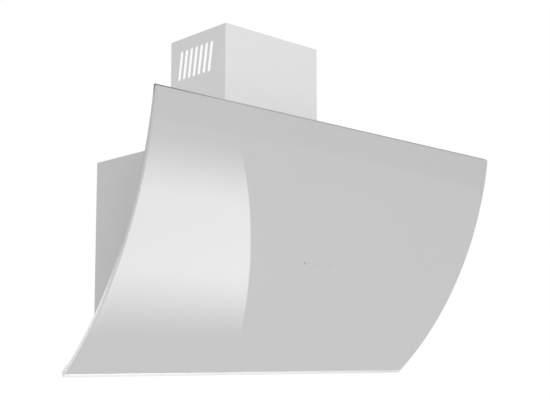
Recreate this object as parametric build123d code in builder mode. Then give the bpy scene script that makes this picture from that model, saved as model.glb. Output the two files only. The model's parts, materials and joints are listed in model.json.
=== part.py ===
from build123d import *
import os
from math import asin, atan2, cos, degrees, sin, sqrt, tan

# Curved glass wall hood. Millimetres, +Z up, +X along the wall, the room on the -Y side.
# The origin is the centre of the four wall fixing holes, on the wall plane Y = 0.

# ---------------------------------------------------------------- driving dimensions
wall_pitch_x = 440.0  # wall fixing holes, centre to centre
wall_pitch_z = 260.0
wall_hole_r = 4.0

glass_width = 900.0
glass_thickness = 6.0
glass_radius = 740.0  # front face, bulging towards the room
glass_arris = 1.0  # polished bevel round the front face
glass_height = 462.0  # top edge above bottom edge
glass_top_reach = 390.0  # front top edge to the wall
glass_bottom_reach = 133.0  # front bottom edge to the wall
glass_bottom_z = -240.0

body_width = 616.0
body_top_z = glass_bottom_z + 411.0
body_bottom_z = glass_bottom_z + 60.0
body_top_depth = 293.0
body_bottom_depth = 118.0
sheet = 1.2

chimney_width = 258.0
chimney_depth = 178.0
chimney_top_z = glass_bottom_z + 693.0
cover_clearance = 0.6  # between the two chimney covers
lower_cover_height = 111.0
duct_y = -90.0  # centre of the outlet, from the wall
duct_r = 74.5  # outside of the 150 mm duct collar

slot_count = 7  # slanted vents on each side of the chimney
slot_width = 8.6
slot_height = 61.5
slot_lean = 10.0
slot_pitch = 16.2
slot_first_y = -27.7  # lower end of the slot nearest the wall
slot_bottom_z = glass_bottom_z + 604.8

gasket_thickness = 2.0
gasket_lip = 1.5  # how far the gasket shows beside the glass
gasket_top_lip = 3.0  # and above it
tray_thickness = 1.2
rail_drop = 8.5  # bottom rail, measured along the glass
rail_leg = 14.0  # leg of the bottom rail behind the tray
rail_leg_thickness = 1.5

hinge_x = 200.0
hinge_out = 42.0  # hinge axis in front of the fascia
hinge_down = 22.0  # and below the fascia's top edge, along the slope
pin_r = 4.0
running_gap = 0.05

filter_window_x = 150.0
filter_window_width = 250.0
filter_window_height = 290.0
filter_window_drop = 55.0
filter_gap = 2.0
filter_thickness = 9.0

scroll_x = -59.0  # blower axis
scroll_z = glass_bottom_z + 272.0
scroll_back_y = -30.0
scroll_depth = 118.0
scroll_radius = 118.0
scroll_step = 8.0  # what the spiral loses in each quarter
impeller_r = 84.0
blade_count = 60

lamp_x = 170.0
lamp_y = -60.0
lamp_r = 32.0
touch_rise = 210.0  # touch keys above the glass's bottom edge

# ---------------------------------------------------------------- derived places
chord_y = glass_bottom_reach - glass_top_reach
half_chord = sqrt(chord_y**2 + glass_height**2) / 2
chord_rise = sqrt(glass_radius**2 - half_chord**2)
arc_y = -(glass_top_reach + glass_bottom_reach) / 2 + chord_rise * glass_height / (2 * half_chord)
arc_z = glass_bottom_z + glass_height / 2 - chord_rise * chord_y / (2 * half_chord)
slope_top = atan2(arc_z - glass_bottom_z - glass_height, arc_y + glass_top_reach)
slope_bottom = atan2(arc_z - glass_bottom_z, arc_y + glass_bottom_reach)

gasket_r = glass_radius - glass_thickness
tray_r = gasket_r - gasket_thickness
tray_back_r = tray_r - tray_thickness

body_height = body_top_z - body_bottom_z
body_mid_z = (body_top_z + body_bottom_z) / 2
inner_width = body_width - 2 * sheet
lean = atan2(body_top_depth - body_bottom_depth, body_height)
fascia_length = body_height / cos(lean)
fascia = Plane(
    origin=(0, -body_top_depth, body_top_z),
    x_dir=(1, 0, 0),
    z_dir=(0, -cos(lean), -sin(lean)),
)
filter_centre = -filter_window_drop - filter_window_height / 2

scroll_front_y = scroll_back_y - scroll_depth
cover_outer_width = chimney_width + 2 * (sheet + cover_clearance)
cover_outer_depth = chimney_depth + sheet + cover_clearance

os.makedirs("parts", exist_ok=True)


def save(piece, label):
    piece.part.label = label
    export_step(piece.part, f"parts/{label}.step")


def glass_point(radius, slope):
    """(y, z) on an arc concentric with the glass; the slope grows from the top edge down."""
    return (arc_y - radius * cos(slope), arc_z - radius * sin(slope))


def slope_at(height):
    """Slope of the front face's point that lies this far above the glass's bottom edge."""
    return asin((arc_z - glass_bottom_z - height) / glass_radius)


def arc_band(outer, inner, start, end):
    """Closed band between two arcs concentric with the glass, in a Y-Z sketch."""
    middle = (start + end) / 2
    with BuildSketch() as band:
        with BuildLine():
            ThreePointArc(
                glass_point(outer, start), glass_point(outer, middle), glass_point(outer, end)
            )
            Line(glass_point(outer, end), glass_point(inner, end))
            ThreePointArc(
                glass_point(inner, end), glass_point(inner, middle), glass_point(inner, start)
            )
            Line(glass_point(inner, start), glass_point(outer, start))
        make_face()
    return band.sketch


def fascia_point(out, up):
    """(y, z) of a point in front of the fascia's face and up its slope from the top edge."""
    return (
        -body_top_depth - out * cos(lean) - up * sin(lean),
        body_top_z - out * sin(lean) + up * cos(lean),
    )


# ================================================================ body sheets
with BuildPart() as back_panel:
    with BuildSketch(Plane.XZ):
        with Locations((0, body_mid_z)):
            Rectangle(inner_width, body_height - 2 * sheet)
        with GridLocations(wall_pitch_x, wall_pitch_z, 2, 2):
            Circle(wall_hole_r, mode=Mode.SUBTRACT)
    extrude(amount=sheet)
save(back_panel, "back_panel")

for side, name in ((-1, "left"), (1, "right")):
    inner_face = inner_width / 2 if side > 0 else -body_width / 2
    with BuildPart() as side_panel:
        with BuildSketch(Plane.YZ.offset(inner_face)):
            with BuildLine():
                Polyline(
                    (0, body_top_z),
                    (-body_top_depth, body_top_z),
                    (-body_bottom_depth, body_bottom_z),
                    (0, body_bottom_z),
                    close=True,
                )
            make_face()
        extrude(amount=sheet)
    save(side_panel, f"side_panel_{name}")

collar_wall = 1.5
collar_screw_r = 80.0  # circle of the four screws that hold the collar
screw_shank_r = 1.6
screw_hole_r = 1.7
screw_head_r = 3.2
screw_head_height = 2.0
gland_place = (-108.0, -24.0)
gland_r = 8.0
top_panel_depth = body_top_depth - sheet / cos(lean) - sheet * tan(lean)
with BuildPart() as top_panel:
    with BuildSketch(Plane.XY.offset(body_top_z - sheet)):
        with Locations((0, -top_panel_depth / 2)):
            Rectangle(inner_width, top_panel_depth)
        with Locations((0, duct_y)):
            Circle(duct_r - collar_wall, mode=Mode.SUBTRACT)
            with PolarLocations(collar_screw_r, 4, start_angle=45):
                Circle(screw_hole_r, mode=Mode.SUBTRACT)
        with Locations(gland_place):
            Circle(gland_r + 0.2, mode=Mode.SUBTRACT)
    extrude(amount=sheet)
save(top_panel, "top_panel")

lamp_hole_r = lamp_r - 4.0
bottom_panel_depth = body_bottom_depth - sheet / cos(lean)
with BuildPart() as bottom_panel:
    with BuildSketch(Plane.XY.offset(body_bottom_z)):
        with Locations((0, -bottom_panel_depth / 2)):
            Rectangle(inner_width, bottom_panel_depth)
        with Locations((-lamp_x, lamp_y), (lamp_x, lamp_y)):
            Circle(lamp_hole_r, mode=Mode.SUBTRACT)
    extrude(amount=sheet)
save(bottom_panel, "bottom_panel")

with BuildPart() as front_fascia:
    with BuildSketch(fascia):
        with Locations((0, -fascia_length / 2)):
            Rectangle(inner_width, fascia_length)
        with Locations((-filter_window_x, filter_centre), (filter_window_x, filter_centre)):
            RectangleRounded(filter_window_width, filter_window_height, 4, mode=Mode.SUBTRACT)
    extrude(amount=-sheet)
save(front_fascia, "front_fascia")

# Folded rails behind the fascia that the filters rest against, above and below the windows.
rail_flange = 12.0  # lies flat on the fascia's back
rail_clear = 4.0  # from the window's edge to the rail's web
rail_lip = 6.0  # the part behind the filter
rail_end_gap = 8.0
filter_back = -filter_thickness - 0.4
for name, up, turn in (
    ("filter_rail_top", -filter_window_drop - 1.0, 1),
    ("filter_rail_bottom", -filter_window_drop - filter_window_height + 1.0, -1),
):
    web_near = up + turn * rail_clear
    web_far = up + turn * (rail_clear + sheet)
    with BuildPart() as filter_rail:
        with BuildSketch(Plane.YZ):
            with BuildLine():
                Polyline(
                    fascia_point(-sheet, web_near),
                    fascia_point(-sheet, web_near + turn * rail_flange),
                    fascia_point(-2 * sheet, web_near + turn * rail_flange),
                    fascia_point(-2 * sheet, web_far),
                    fascia_point(filter_back - sheet, web_far),
                    fascia_point(filter_back - sheet, up - turn * rail_lip),
                    fascia_point(filter_back, up - turn * rail_lip),
                    fascia_point(filter_back, web_near),
                    close=True,
                )
            make_face()
        extrude(amount=inner_width / 2 - rail_end_gap, both=True)
    save(filter_rail, name)

# ================================================================ chimney
with BuildPart() as lower_chimney_cover:
    with BuildSketch(Plane.XY.offset(body_top_z)):
        with Locations((0, -cover_outer_depth / 2)):
            Rectangle(cover_outer_width, cover_outer_depth)
        with Locations((0, -(cover_outer_depth - sheet) / 2)):
            Rectangle(
                cover_outer_width - 2 * sheet, cover_outer_depth - sheet, mode=Mode.SUBTRACT
            )
    extrude(amount=lower_cover_height)
save(lower_chimney_cover, "lower_chimney_cover")

upper_cover_bottom_z = body_top_z + 7.0
back_flange = 12.0
slot_length = sqrt(slot_height**2 + slot_lean**2)
slot_angle = degrees(atan2(slot_height, -slot_lean))
with BuildPart() as upper_chimney_cover:
    with BuildSketch(Plane.XY.offset(upper_cover_bottom_z)):
        with Locations((0, -chimney_depth / 2)):
            Rectangle(chimney_width, chimney_depth)
            Rectangle(chimney_width - 2 * sheet, chimney_depth - 2 * sheet, mode=Mode.SUBTRACT)
        with Locations((0, -sheet / 2)):
            Rectangle(chimney_width - 2 * back_flange, 2 * sheet, mode=Mode.SUBTRACT)
    extrude(amount=chimney_top_z - upper_cover_bottom_z)
    front_edges = upper_chimney_cover.edges().filter_by(Axis.Z).group_by(Axis.Y)[0]
    fillet(front_edges, 0.8)
    with BuildSketch(Plane.YZ):
        for slot in range(slot_count):
            foot = slot_first_y - slot * slot_pitch
            with Locations((foot - slot_lean / 2, slot_bottom_z + slot_height / 2)):
                SlotOverall(slot_length, slot_width, rotation=slot_angle)
    extrude(amount=chimney_width, both=True, mode=Mode.SUBTRACT)
save(upper_chimney_cover, "upper_chimney_cover")

# Wall bracket for the chimney: a plate on the wall, a plate behind the cover's flanges, two ears.
bracket_z = glass_bottom_z + 572.0
bracket_hole_pitch = 160.0
bracket_hole_r = 2.75
bracket_height = 26.0
bracket_plate = 2.0
bracket_wall_width = 220.0
bracket_ear = 1.5
bracket_ear_depth = 22.0
bracket_tab_x = chimney_width / 2 - sheet - cover_clearance
ear_x = bracket_tab_x - bracket_ear / 2
ear_y = -bracket_plate - bracket_ear_depth / 2
with BuildPart() as chimney_bracket:
    with BuildSketch(Plane.XY.offset(bracket_z - bracket_height / 2)):
        with Locations((0, -bracket_plate / 2)):
            Rectangle(bracket_wall_width, bracket_plate)
        with Locations((0, -bracket_plate * 3 / 2)):
            Rectangle(2 * bracket_tab_x, bracket_plate)
        with Locations((-ear_x, ear_y), (ear_x, ear_y)):
            Rectangle(bracket_ear, bracket_ear_depth)
    extrude(amount=bracket_height)
    with BuildSketch(Plane.XZ):
        with Locations((0, bracket_z)):
            with GridLocations(bracket_hole_pitch, 1, 2, 1):
                Circle(bracket_hole_r)
    extrude(amount=2 * bracket_plate, mode=Mode.SUBTRACT)
save(chimney_bracket, "chimney_bracket")

# ================================================================ blower
scroll_top_z = body_top_z - sheet - 25.0
tongue_r = 8.0
inlet_r = 66.0
blower_axis = Plane(origin=(scroll_x, scroll_back_y, scroll_z), x_dir=(1, 0, 0), z_dir=(0, -1, 0))


def scroll_face(grow):
    """Inside of the blower's spiral: three shrinking quarter arcs, the tongue and the outlet."""
    r1 = scroll_radius + grow
    r2 = r1 - scroll_step
    r3 = r2 - scroll_step
    low_z = scroll_z - scroll_step
    tongue_x = scroll_x - scroll_step
    tongue_z = low_z + scroll_radius - 2 * scroll_step + tongue_r
    left_x = tongue_x + tongue_r - grow
    with BuildSketch() as spiral:
        with BuildLine():
            Line((scroll_x + r1, scroll_top_z), (scroll_x + r1, scroll_z))
            CenterArc((scroll_x, scroll_z), r1, 0, -90)
            CenterArc((scroll_x, low_z), r2, -90, -90)
            CenterArc((tongue_x, low_z), r3, 180, -90)
            CenterArc((tongue_x, tongue_z), tongue_r - grow, -90, 90)
            Line((left_x, tongue_z), (left_x, scroll_top_z))
            Line((left_x, scroll_top_z), (scroll_x + r1, scroll_top_z))
        make_face()
    return spiral.sketch


with BuildPart() as scroll_wrapper:
    with BuildSketch(Plane.XZ.offset(-scroll_back_y)):
        add(scroll_face(sheet))
    extrude(amount=scroll_depth)
    with BuildSketch(Plane.XZ.offset(-scroll_back_y)):
        add(scroll_face(0))
        with Locations(((2 * scroll_x + scroll_radius) / 2, scroll_top_z)):
            Rectangle(scroll_radius, 10)
    extrude(amount=scroll_depth, mode=Mode.SUBTRACT)
save(scroll_wrapper, "scroll_wrapper")

mount_screw_r = 54.0  # circle of the three screws that hold the motor
mount_hole_r = 2.7
with BuildPart() as scroll_back_plate:
    with BuildSketch(Plane.XZ.offset(-scroll_back_y - sheet)):
        add(scroll_face(sheet))
        with Locations((scroll_x, scroll_z)):
            with PolarLocations(mount_screw_r, 3, start_angle=90):
                Circle(mount_hole_r, mode=Mode.SUBTRACT)
    extrude(amount=sheet)
save(scroll_back_plate, "scroll_back_plate")

with BuildPart() as scroll_front_plate:
    with BuildSketch(Plane.XZ.offset(-scroll_front_y)):
        add(scroll_face(sheet))
        with Locations((scroll_x, scroll_z)):
            Circle(inlet_r, mode=Mode.SUBTRACT)
    extrude(amount=sheet)
save(scroll_front_plate, "scroll_front_plate")

outlet_centre_x = scroll_x + scroll_radius / 2
scroll_mid_y = (scroll_back_y + scroll_front_y) / 2
with BuildPart() as outlet_transition:
    for inset, mode in ((0, Mode.ADD), (sheet, Mode.SUBTRACT)):
        with BuildSketch(Plane.XY.offset(scroll_top_z)):
            with Locations((outlet_centre_x, scroll_mid_y)):
                RectangleRounded(scroll_radius + 2 - 2 * inset, scroll_depth - 2 * inset, 6 - inset)
        with BuildSketch(Plane.XY.offset(body_top_z - sheet)):
            with Locations((0, duct_y)):
                Circle(duct_r - inset)
        loft(mode=mode)
save(outlet_transition, "outlet_transition")

# Bellmouth: a turned ring whose lip leads the air into the wheel.
inlet_flange = 1.5
inlet_flange_r = inlet_r + 16.0
flange_back_y = scroll_front_y - sheet
with BuildPart() as inlet_ring:
    with BuildSketch(Plane.YZ.offset(scroll_x)):
        with BuildLine():
            Polyline(
                (flange_back_y, scroll_z + inlet_flange_r),
                (flange_back_y - inlet_flange, scroll_z + inlet_flange_r),
                (flange_back_y - inlet_flange, scroll_z + inlet_r + 0.5),
                (flange_back_y, scroll_z + inlet_r - 2),
                (scroll_front_y + 1.5, scroll_z + inlet_r - 3),
                (scroll_front_y + 5, scroll_z + inlet_r - 3.5),
                (scroll_front_y + 5, scroll_z + inlet_r - 0.5),
                (flange_back_y, scroll_z + inlet_r - 0.5),
                close=True,
            )
        make_face()
    revolve(axis=Axis((scroll_x, 0, scroll_z), (0, 1, 0)))
save(inlet_ring, "inlet_ring")

guard_rings = (70.0, 50.0, 34.0, 18.0)  # middle of each ring, the largest first
guard_bar = 2.4
with BuildPart() as inlet_guard:
    with BuildSketch(Plane.XZ.offset(inlet_flange - flange_back_y)):
        with Locations((scroll_x, scroll_z)):
            for ring in guard_rings:
                Circle(ring + guard_bar / 2)
                Circle(ring - guard_bar / 2, mode=Mode.SUBTRACT)
            for spoke in range(3):
                Rectangle(2 * guard_rings[0], guard_bar, rotation=60 * spoke)
    extrude(amount=guard_bar)
save(inlet_guard, "inlet_guard")

mount_plate = 3.0
mount_lug_r = 9.0
with BuildPart() as motor_mount:
    with BuildSketch(Plane.XZ.offset(-scroll_back_y)):
        with Locations((scroll_x, scroll_z)):
            Circle(mount_screw_r - mount_lug_r - 1)
            with PolarLocations(mount_screw_r, 3, start_angle=90):
                Circle(mount_lug_r)
            with PolarLocations(mount_screw_r / 2, 3, start_angle=90):
                Rectangle(mount_screw_r, 2 * mount_lug_r)
            with PolarLocations(mount_screw_r, 3, start_angle=90):
                Circle(mount_hole_r, mode=Mode.SUBTRACT)
    extrude(amount=mount_plate)
save(motor_mount, "motor_mount")

motor_r = 46.0
motor_length = 59.0
shell_groove_start = 14.0  # the stator packet shows 2 mm lower between the two end shells
shell_groove_width = 26.0
shaft_r = 4.0
shaft_depth = 30.0  # how far the shaft reaches into the motor
motor_back_y = scroll_back_y - mount_plate
motor_front_y = motor_back_y - motor_length
with BuildPart() as motor:
    with BuildSketch(Plane.XZ.offset(-motor_back_y)):
        with Locations((scroll_x, scroll_z)):
            Circle(motor_r)
    extrude(amount=motor_length)
    fillet(motor.edges().filter_by(GeomType.CIRCLE).group_by(Axis.Y)[0], 6)
    with BuildSketch(Plane.XZ.offset(shell_groove_start - motor_back_y)):
        with Locations((scroll_x, scroll_z)):
            Circle(motor_r + 1)
            Circle(motor_r - 2, mode=Mode.SUBTRACT)
    extrude(amount=shell_groove_width, mode=Mode.SUBTRACT)
    with BuildSketch(Plane.XZ.offset(-motor_front_y)):
        with Locations((scroll_x, scroll_z)):
            Circle(shaft_r + running_gap)
    extrude(amount=-shaft_depth - 4, mode=Mode.SUBTRACT)
save(motor, "motor")

wheel_back_y = scroll_back_y - 10.0
wheel_front_y = scroll_front_y + 9.0
wheel_rim = 15.0
wheel_plate = 2.5
blade_thickness = 1.2
blade_angle = 35.0
disc_y = motor_front_y - 12.0  # the disc in front of the motor that carries the blades
hub_r = 13.0
hub_length = 18.0
with BuildPart() as impeller:
    with BuildSketch(Plane.XZ.offset(-wheel_back_y)):
        with Locations((scroll_x, scroll_z)):
            with PolarLocations(impeller_r - wheel_rim / 2, blade_count):
                Rectangle(wheel_rim - 1, blade_thickness, rotation=blade_angle)
    extrude(amount=wheel_back_y - wheel_front_y)
    for rim_y in (wheel_back_y, wheel_front_y + wheel_plate):
        with BuildSketch(Plane.XZ.offset(-rim_y)):
            with Locations((scroll_x, scroll_z)):
                Circle(impeller_r)
                Circle(impeller_r - wheel_rim, mode=Mode.SUBTRACT)
        extrude(amount=wheel_plate)
    with BuildSketch(Plane.XZ.offset(-disc_y)):
        with Locations((scroll_x, scroll_z)):
            Circle(impeller_r - 2)
    extrude(amount=wheel_plate)
    with BuildSketch(Plane.XZ.offset(-disc_y - 8)):
        with Locations((scroll_x, scroll_z)):
            Circle(hub_r)
    extrude(amount=hub_length)
    with BuildSketch(Plane.XZ.offset(-disc_y)):
        with Locations((scroll_x, scroll_z)):
            Circle(shaft_r)
    extrude(amount=hub_length, both=True, mode=Mode.SUBTRACT)
save(impeller, "impeller")

with BuildPart() as motor_shaft:
    with BuildSketch(Plane.XZ.offset(-motor_front_y - shaft_depth)):
        with Locations((scroll_x, scroll_z)):
            Circle(shaft_r)
    extrude(amount=shaft_depth + 34)
save(motor_shaft, "motor_shaft")

# ================================================================ outlet collar and back-draught flaps
collar_height = 45.0
flap_pin_z = body_top_z + 18.0
flap_pin_r = 2.0
collar_flange_r = 85.5
collar_flange = 2.0
with BuildPart() as outlet_collar:
    with BuildSketch(Plane.XY.offset(body_top_z)):
        with Locations((0, duct_y)):
            Circle(duct_r)
            Circle(duct_r - collar_wall, mode=Mode.SUBTRACT)
    extrude(amount=collar_height)
    with BuildSketch(Plane.XY.offset(body_top_z)):
        with Locations((0, duct_y)):
            Circle(collar_flange_r)
            Circle(duct_r - collar_wall, mode=Mode.SUBTRACT)
            with PolarLocations(collar_screw_r, 4, start_angle=45):
                Circle(screw_hole_r, mode=Mode.SUBTRACT)
    extrude(amount=collar_flange)
    with BuildSketch(Plane.YZ):
        with Locations((duct_y, flap_pin_z)):
            Circle(flap_pin_r)
    extrude(amount=collar_flange_r, both=True, mode=Mode.SUBTRACT)
save(outlet_collar, "outlet_collar")

with BuildPart() as damper_pin:
    with BuildSketch(Plane.YZ):
        with Locations((duct_y, flap_pin_z)):
            Circle(flap_pin_r)
    extrude(amount=duct_r - 0.2, both=True)
save(damper_pin, "damper_pin")

flap_r = 71.5
flap_root = 3.8  # the plate starts here, measured from the pin's axis
sleeve_length = 18.0
for side, name, sleeves in ((-1, "front", (50.0, -50.0)), (1, "rear", (22.0, -22.0))):
    with BuildPart() as damper_flap:
        with BuildSketch(Plane.XY.offset(flap_pin_z - sheet / 2)):
            with Locations((0, duct_y)):
                Circle(flap_r)
            with Locations((0, duct_y - side * (flap_r - flap_root))):
                Rectangle(2 * flap_r + 2, 2 * flap_r, mode=Mode.SUBTRACT)
            for sleeve in sleeves:
                with Locations((sleeve, duct_y + side * flap_root / 2)):
                    Rectangle(sleeve_length, flap_root)
        extrude(amount=sheet)
        for sleeve in sleeves:
            with BuildSketch(Plane.YZ.offset(sleeve)):
                with Locations((duct_y, flap_pin_z)):
                    Circle(flap_pin_r + sheet)
            extrude(amount=sleeve_length / 2, both=True)
        with BuildSketch(Plane.YZ):
            with Locations((duct_y, flap_pin_z)):
                Circle(flap_pin_r + running_gap)
        extrude(amount=flap_r, both=True, mode=Mode.SUBTRACT)
    save(damper_flap, f"damper_flap_{name}")

# ================================================================ electrics
gland_bore_r = 4.1
gland_length = 27.0
gland_below = 9.0  # the part of the gland under the top panel
with BuildPart() as cable_gland:
    with BuildSketch(Plane.XY.offset(body_top_z)):
        with Locations(gland_place):
            RegularPolygon(gland_r + 4, 6)
    extrude(amount=5)
    with BuildSketch(Plane.XY.offset(body_top_z - gland_below)):
        with Locations(gland_place):
            Circle(gland_r)
    extrude(amount=gland_length)
    with BuildSketch(Plane.XY.offset(body_top_z - gland_below)):
        with Locations(gland_place):
            Circle(gland_bore_r)
    extrude(amount=gland_length, mode=Mode.SUBTRACT)
save(cable_gland, "cable_gland")

box_x = 135.0
box_z = body_top_z - 76.0
box_width = 116.0
box_height = 104.0
box_depth = 38.0
box_wall = 2.0
with BuildPart() as control_box:
    with BuildSketch(Plane.XZ.offset(sheet)):
        with Locations((box_x, box_z)):
            RectangleRounded(box_width, box_height, 4)
    extrude(amount=box_depth)
    with BuildSketch(Plane.XZ.offset(sheet + box_wall)):
        with Locations((box_x, box_z)):
            Rectangle(box_width - 2 * box_wall, box_height - 2 * box_wall)
    extrude(amount=box_depth, mode=Mode.SUBTRACT)
save(control_box, "control_box")

with BuildPart() as control_box_lid:
    with BuildSketch(Plane.XZ.offset(sheet + box_depth)):
        with Locations((box_x, box_z)):
            RectangleRounded(box_width, box_height, 4)
    extrude(amount=box_wall)
save(control_box_lid, "control_box_lid")

board_thickness = 1.6
board_stand = 6.0  # the board's height over the floor of the box
board_edge = 6.0
tall_parts = 18.0  # height of the transformer, the relays and the reservoir capacitor
board_y = sheet + box_wall + board_stand
with BuildPart() as power_board:
    with BuildSketch(Plane.XZ.offset(board_y)):
        with Locations((box_x, box_z)):
            Rectangle(box_width - 2 * board_edge, box_height - 2 * board_edge)
    extrude(amount=board_thickness)
    with BuildSketch(Plane.XZ.offset(board_y + board_thickness)):
        with Locations((box_x - 28, box_z + 20)):
            Rectangle(32, 28)
        with Locations((box_x + 24, box_z + 24), (box_x + 24, box_z - 2)):
            Rectangle(20, 16)
        with Locations((box_x - 26, box_z - 24)):
            Circle(8)
    extrude(amount=tall_parts)
save(power_board, "power_board")

terminal_place = (268.0, box_z - 20.0)
terminal_pitch = 13.0
terminal_depth = 18.0
with BuildPart() as terminal_block:
    with BuildSketch(Plane.XZ.offset(sheet)):
        with Locations(terminal_place):
            Rectangle(42, 22)
    extrude(amount=terminal_depth)
    with BuildSketch(Plane.XZ.offset(sheet + 6)):
        with Locations(terminal_place):
            with GridLocations(terminal_pitch, 1, 3, 1):
                Rectangle(7, 12)
    extrude(amount=terminal_depth, mode=Mode.SUBTRACT)
save(terminal_block, "terminal_block")

capacitor_r = 17.0
capacitor_length = 70.0
capacitor_top_z = box_z - box_height / 2 - 22.0
with BuildPart() as motor_capacitor:
    with BuildSketch(Plane.XY.offset(capacitor_top_z - capacitor_length)):
        with Locations((box_x, -sheet - capacitor_r - 1)):
            Circle(capacitor_r)
    extrude(amount=capacitor_length)
    fillet(motor_capacitor.edges().filter_by(GeomType.CIRCLE), 2)
    with BuildSketch(Plane.XZ.offset(sheet)):
        with Locations((box_x, capacitor_top_z - capacitor_length / 2)):
            Rectangle(24, 20)
    extrude(amount=capacitor_r - 5)
save(motor_capacitor, "motor_capacitor")

# ================================================================ lamps
lamp_flange = 2.0  # stands proud of the bottom panel
lamp_body = 16.0
lens_r = lamp_r - 8.0
lens_thickness = 3.0
heatsink_z = body_bottom_z + lamp_body - lamp_flange
fin_count = 4
fin_pitch = 5.0
fin_thickness = 2.0
for side, name in ((-1, "left"), (1, "right")):
    centre = (side * lamp_x, lamp_y)
    with BuildPart() as lamp_bezel:
        with BuildSketch(Plane.XY.offset(body_bottom_z - lamp_flange)):
            with Locations(centre):
                Circle(lamp_r)
        extrude(amount=lamp_flange)
        chamfer(lamp_bezel.edges().group_by(Axis.Z)[0], lamp_flange / 2)
        with BuildSketch(Plane.XY.offset(body_bottom_z - lamp_flange)):
            with Locations(centre):
                Circle(lamp_hole_r - 0.1)
        extrude(amount=lamp_body)
        with BuildSketch(Plane.XY.offset(body_bottom_z - lamp_flange)):
            with Locations(centre):
                Circle(lens_r)
        extrude(amount=lamp_body, mode=Mode.SUBTRACT)
    save(lamp_bezel, f"lamp_bezel_{name}")

    with BuildPart() as lamp_lens:
        with BuildSketch(Plane.XY.offset(body_bottom_z - 0.8)):
            with Locations(centre):
                Circle(lens_r)
        extrude(amount=lens_thickness)
        fillet(lamp_lens.edges().group_by(Axis.Z)[0], 0.6)
    save(lamp_lens, f"lamp_lens_{name}")

    with BuildPart() as lamp_heatsink:
        with BuildSketch(Plane.XY.offset(heatsink_z)):
            with Locations(centre):
                Circle(lamp_hole_r)
        extrude(amount=3)
        for fin in range(fin_count):
            with BuildSketch(Plane.XY.offset(heatsink_z + fin_pitch * (fin + 1))):
                with Locations(centre):
                    Circle(lamp_hole_r - 2)
            extrude(amount=fin_thickness)
        with BuildSketch(Plane.XY.offset(heatsink_z)):
            with Locations(centre):
                Circle(9)
        extrude(amount=fin_count * fin_pitch + fin_thickness)
    save(lamp_heatsink, f"lamp_heatsink_{name}")

# ================================================================ glass panel hinges and catches
hinge_point = fascia_point(hinge_out, -hinge_down)
hinge_slope = atan2(arc_z - hinge_point[1], arc_y - hinge_point[0])
knuckle_r = 9.0
leaf_half = 28.0
leaf_thickness = 3.0
knuckle_half = 10.0
knuckle_play = 0.2  # on each side of the bracket's knuckle
leaf_screws = ((-22.0, -16.0), (22.0, -16.0), (-22.0, -40.0), (22.0, -40.0))
leaf_foot_slope = 0.035  # half of the arc on which the leaf is bonded to the tray
for side, name in ((-1, "left"), (1, "right")):
    centre_x = side * hinge_x
    with BuildPart() as hinge_bracket:
        with BuildSketch(fascia):
            with Locations((centre_x, -28)):
                RectangleRounded(2 * leaf_half, 40, 3)
            with Locations(*[(centre_x + x, up) for x, up in leaf_screws]):
                Circle(screw_hole_r, mode=Mode.SUBTRACT)
        extrude(amount=leaf_thickness)
        with BuildSketch(Plane.YZ.offset(centre_x)):
            with Locations(hinge_point):
                Circle(knuckle_r)
            with Locations(fascia_point(2 * leaf_thickness, -hinge_down)):
                Circle(knuckle_r + 3)
            make_hull()
            with BuildLine():
                Polyline(
                    fascia_point(leaf_thickness, 40),
                    fascia_point(leaf_thickness, -80),
                    fascia_point(-40, -80),
                    fascia_point(-40, 40),
                    close=True,
                )
            make_face(mode=Mode.SUBTRACT)
        extrude(amount=knuckle_half - knuckle_play, both=True)
        with BuildSketch(Plane.YZ.offset(centre_x)):
            with Locations(hinge_point):
                Circle(pin_r + running_gap)
        extrude(amount=leaf_half, both=True, mode=Mode.SUBTRACT)
    save(hinge_bracket, f"hinge_bracket_{name}")

    with BuildPart() as hinge_leaf:
        with BuildSketch(Plane.YZ.offset(centre_x - leaf_half)):
            with Locations(hinge_point):
                Circle(knuckle_r)
            with Locations(glass_point(tray_back_r - 8, hinge_slope)):
                Circle(14)
            make_hull()
            with Locations((arc_y, arc_z)):
                Circle(tray_back_r, mode=Mode.INTERSECT)
            add(
                arc_band(
                    tray_back_r,
                    tray_back_r - leaf_thickness,
                    hinge_slope - leaf_foot_slope,
                    hinge_slope + leaf_foot_slope,
                )
            )
        extrude(amount=2 * leaf_half)
        with BuildSketch(Plane.YZ.offset(centre_x - knuckle_half)):
            with Locations((arc_y, arc_z)):
                Circle(tray_back_r - leaf_thickness)
        extrude(amount=2 * knuckle_half, mode=Mode.SUBTRACT)
        with BuildSketch(Plane.YZ.offset(centre_x)):
            with Locations(hinge_point):
                Circle(pin_r)
        extrude(amount=leaf_half, both=True, mode=Mode.SUBTRACT)
    save(hinge_leaf, f"hinge_leaf_{name}")

with BuildPart() as hinge_pins:
    for side in (-1, 1):
        with BuildSketch(Plane.YZ.offset(side * hinge_x)):
            with Locations(hinge_point):
                Circle(pin_r)
        extrude(amount=leaf_half + 1, both=True)
        with BuildSketch(Plane.YZ.offset(side * (hinge_x + leaf_half + knuckle_play))):
            with Locations(hinge_point):
                Circle(pin_r + 2)
        extrude(amount=side * 2)
save(hinge_pins, "hinge_pins")

catch_x = 262.0
catch_up = -372.0
catch_place = fascia_point(0, catch_up)
catch_slope = atan2(arc_z - catch_place[1], arc_y - catch_place[0])
striker_thickness = 1.5
striker_half_slope = 0.022
striker_half_width = 16.0


def gap_to_circle(radius, up):
    """Distance from the fascia's face, square to it, to a circle concentric with the glass."""
    foot_y, foot_z = fascia_point(0, up)
    toward_y, toward_z = -cos(lean), -sin(lean)
    across = (foot_y - arc_y) * toward_y + (foot_z - arc_z) * toward_z
    apart = (foot_y - arc_y) ** 2 + (foot_z - arc_z) ** 2 - radius**2
    return -across + sqrt(across**2 - apart)


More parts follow.
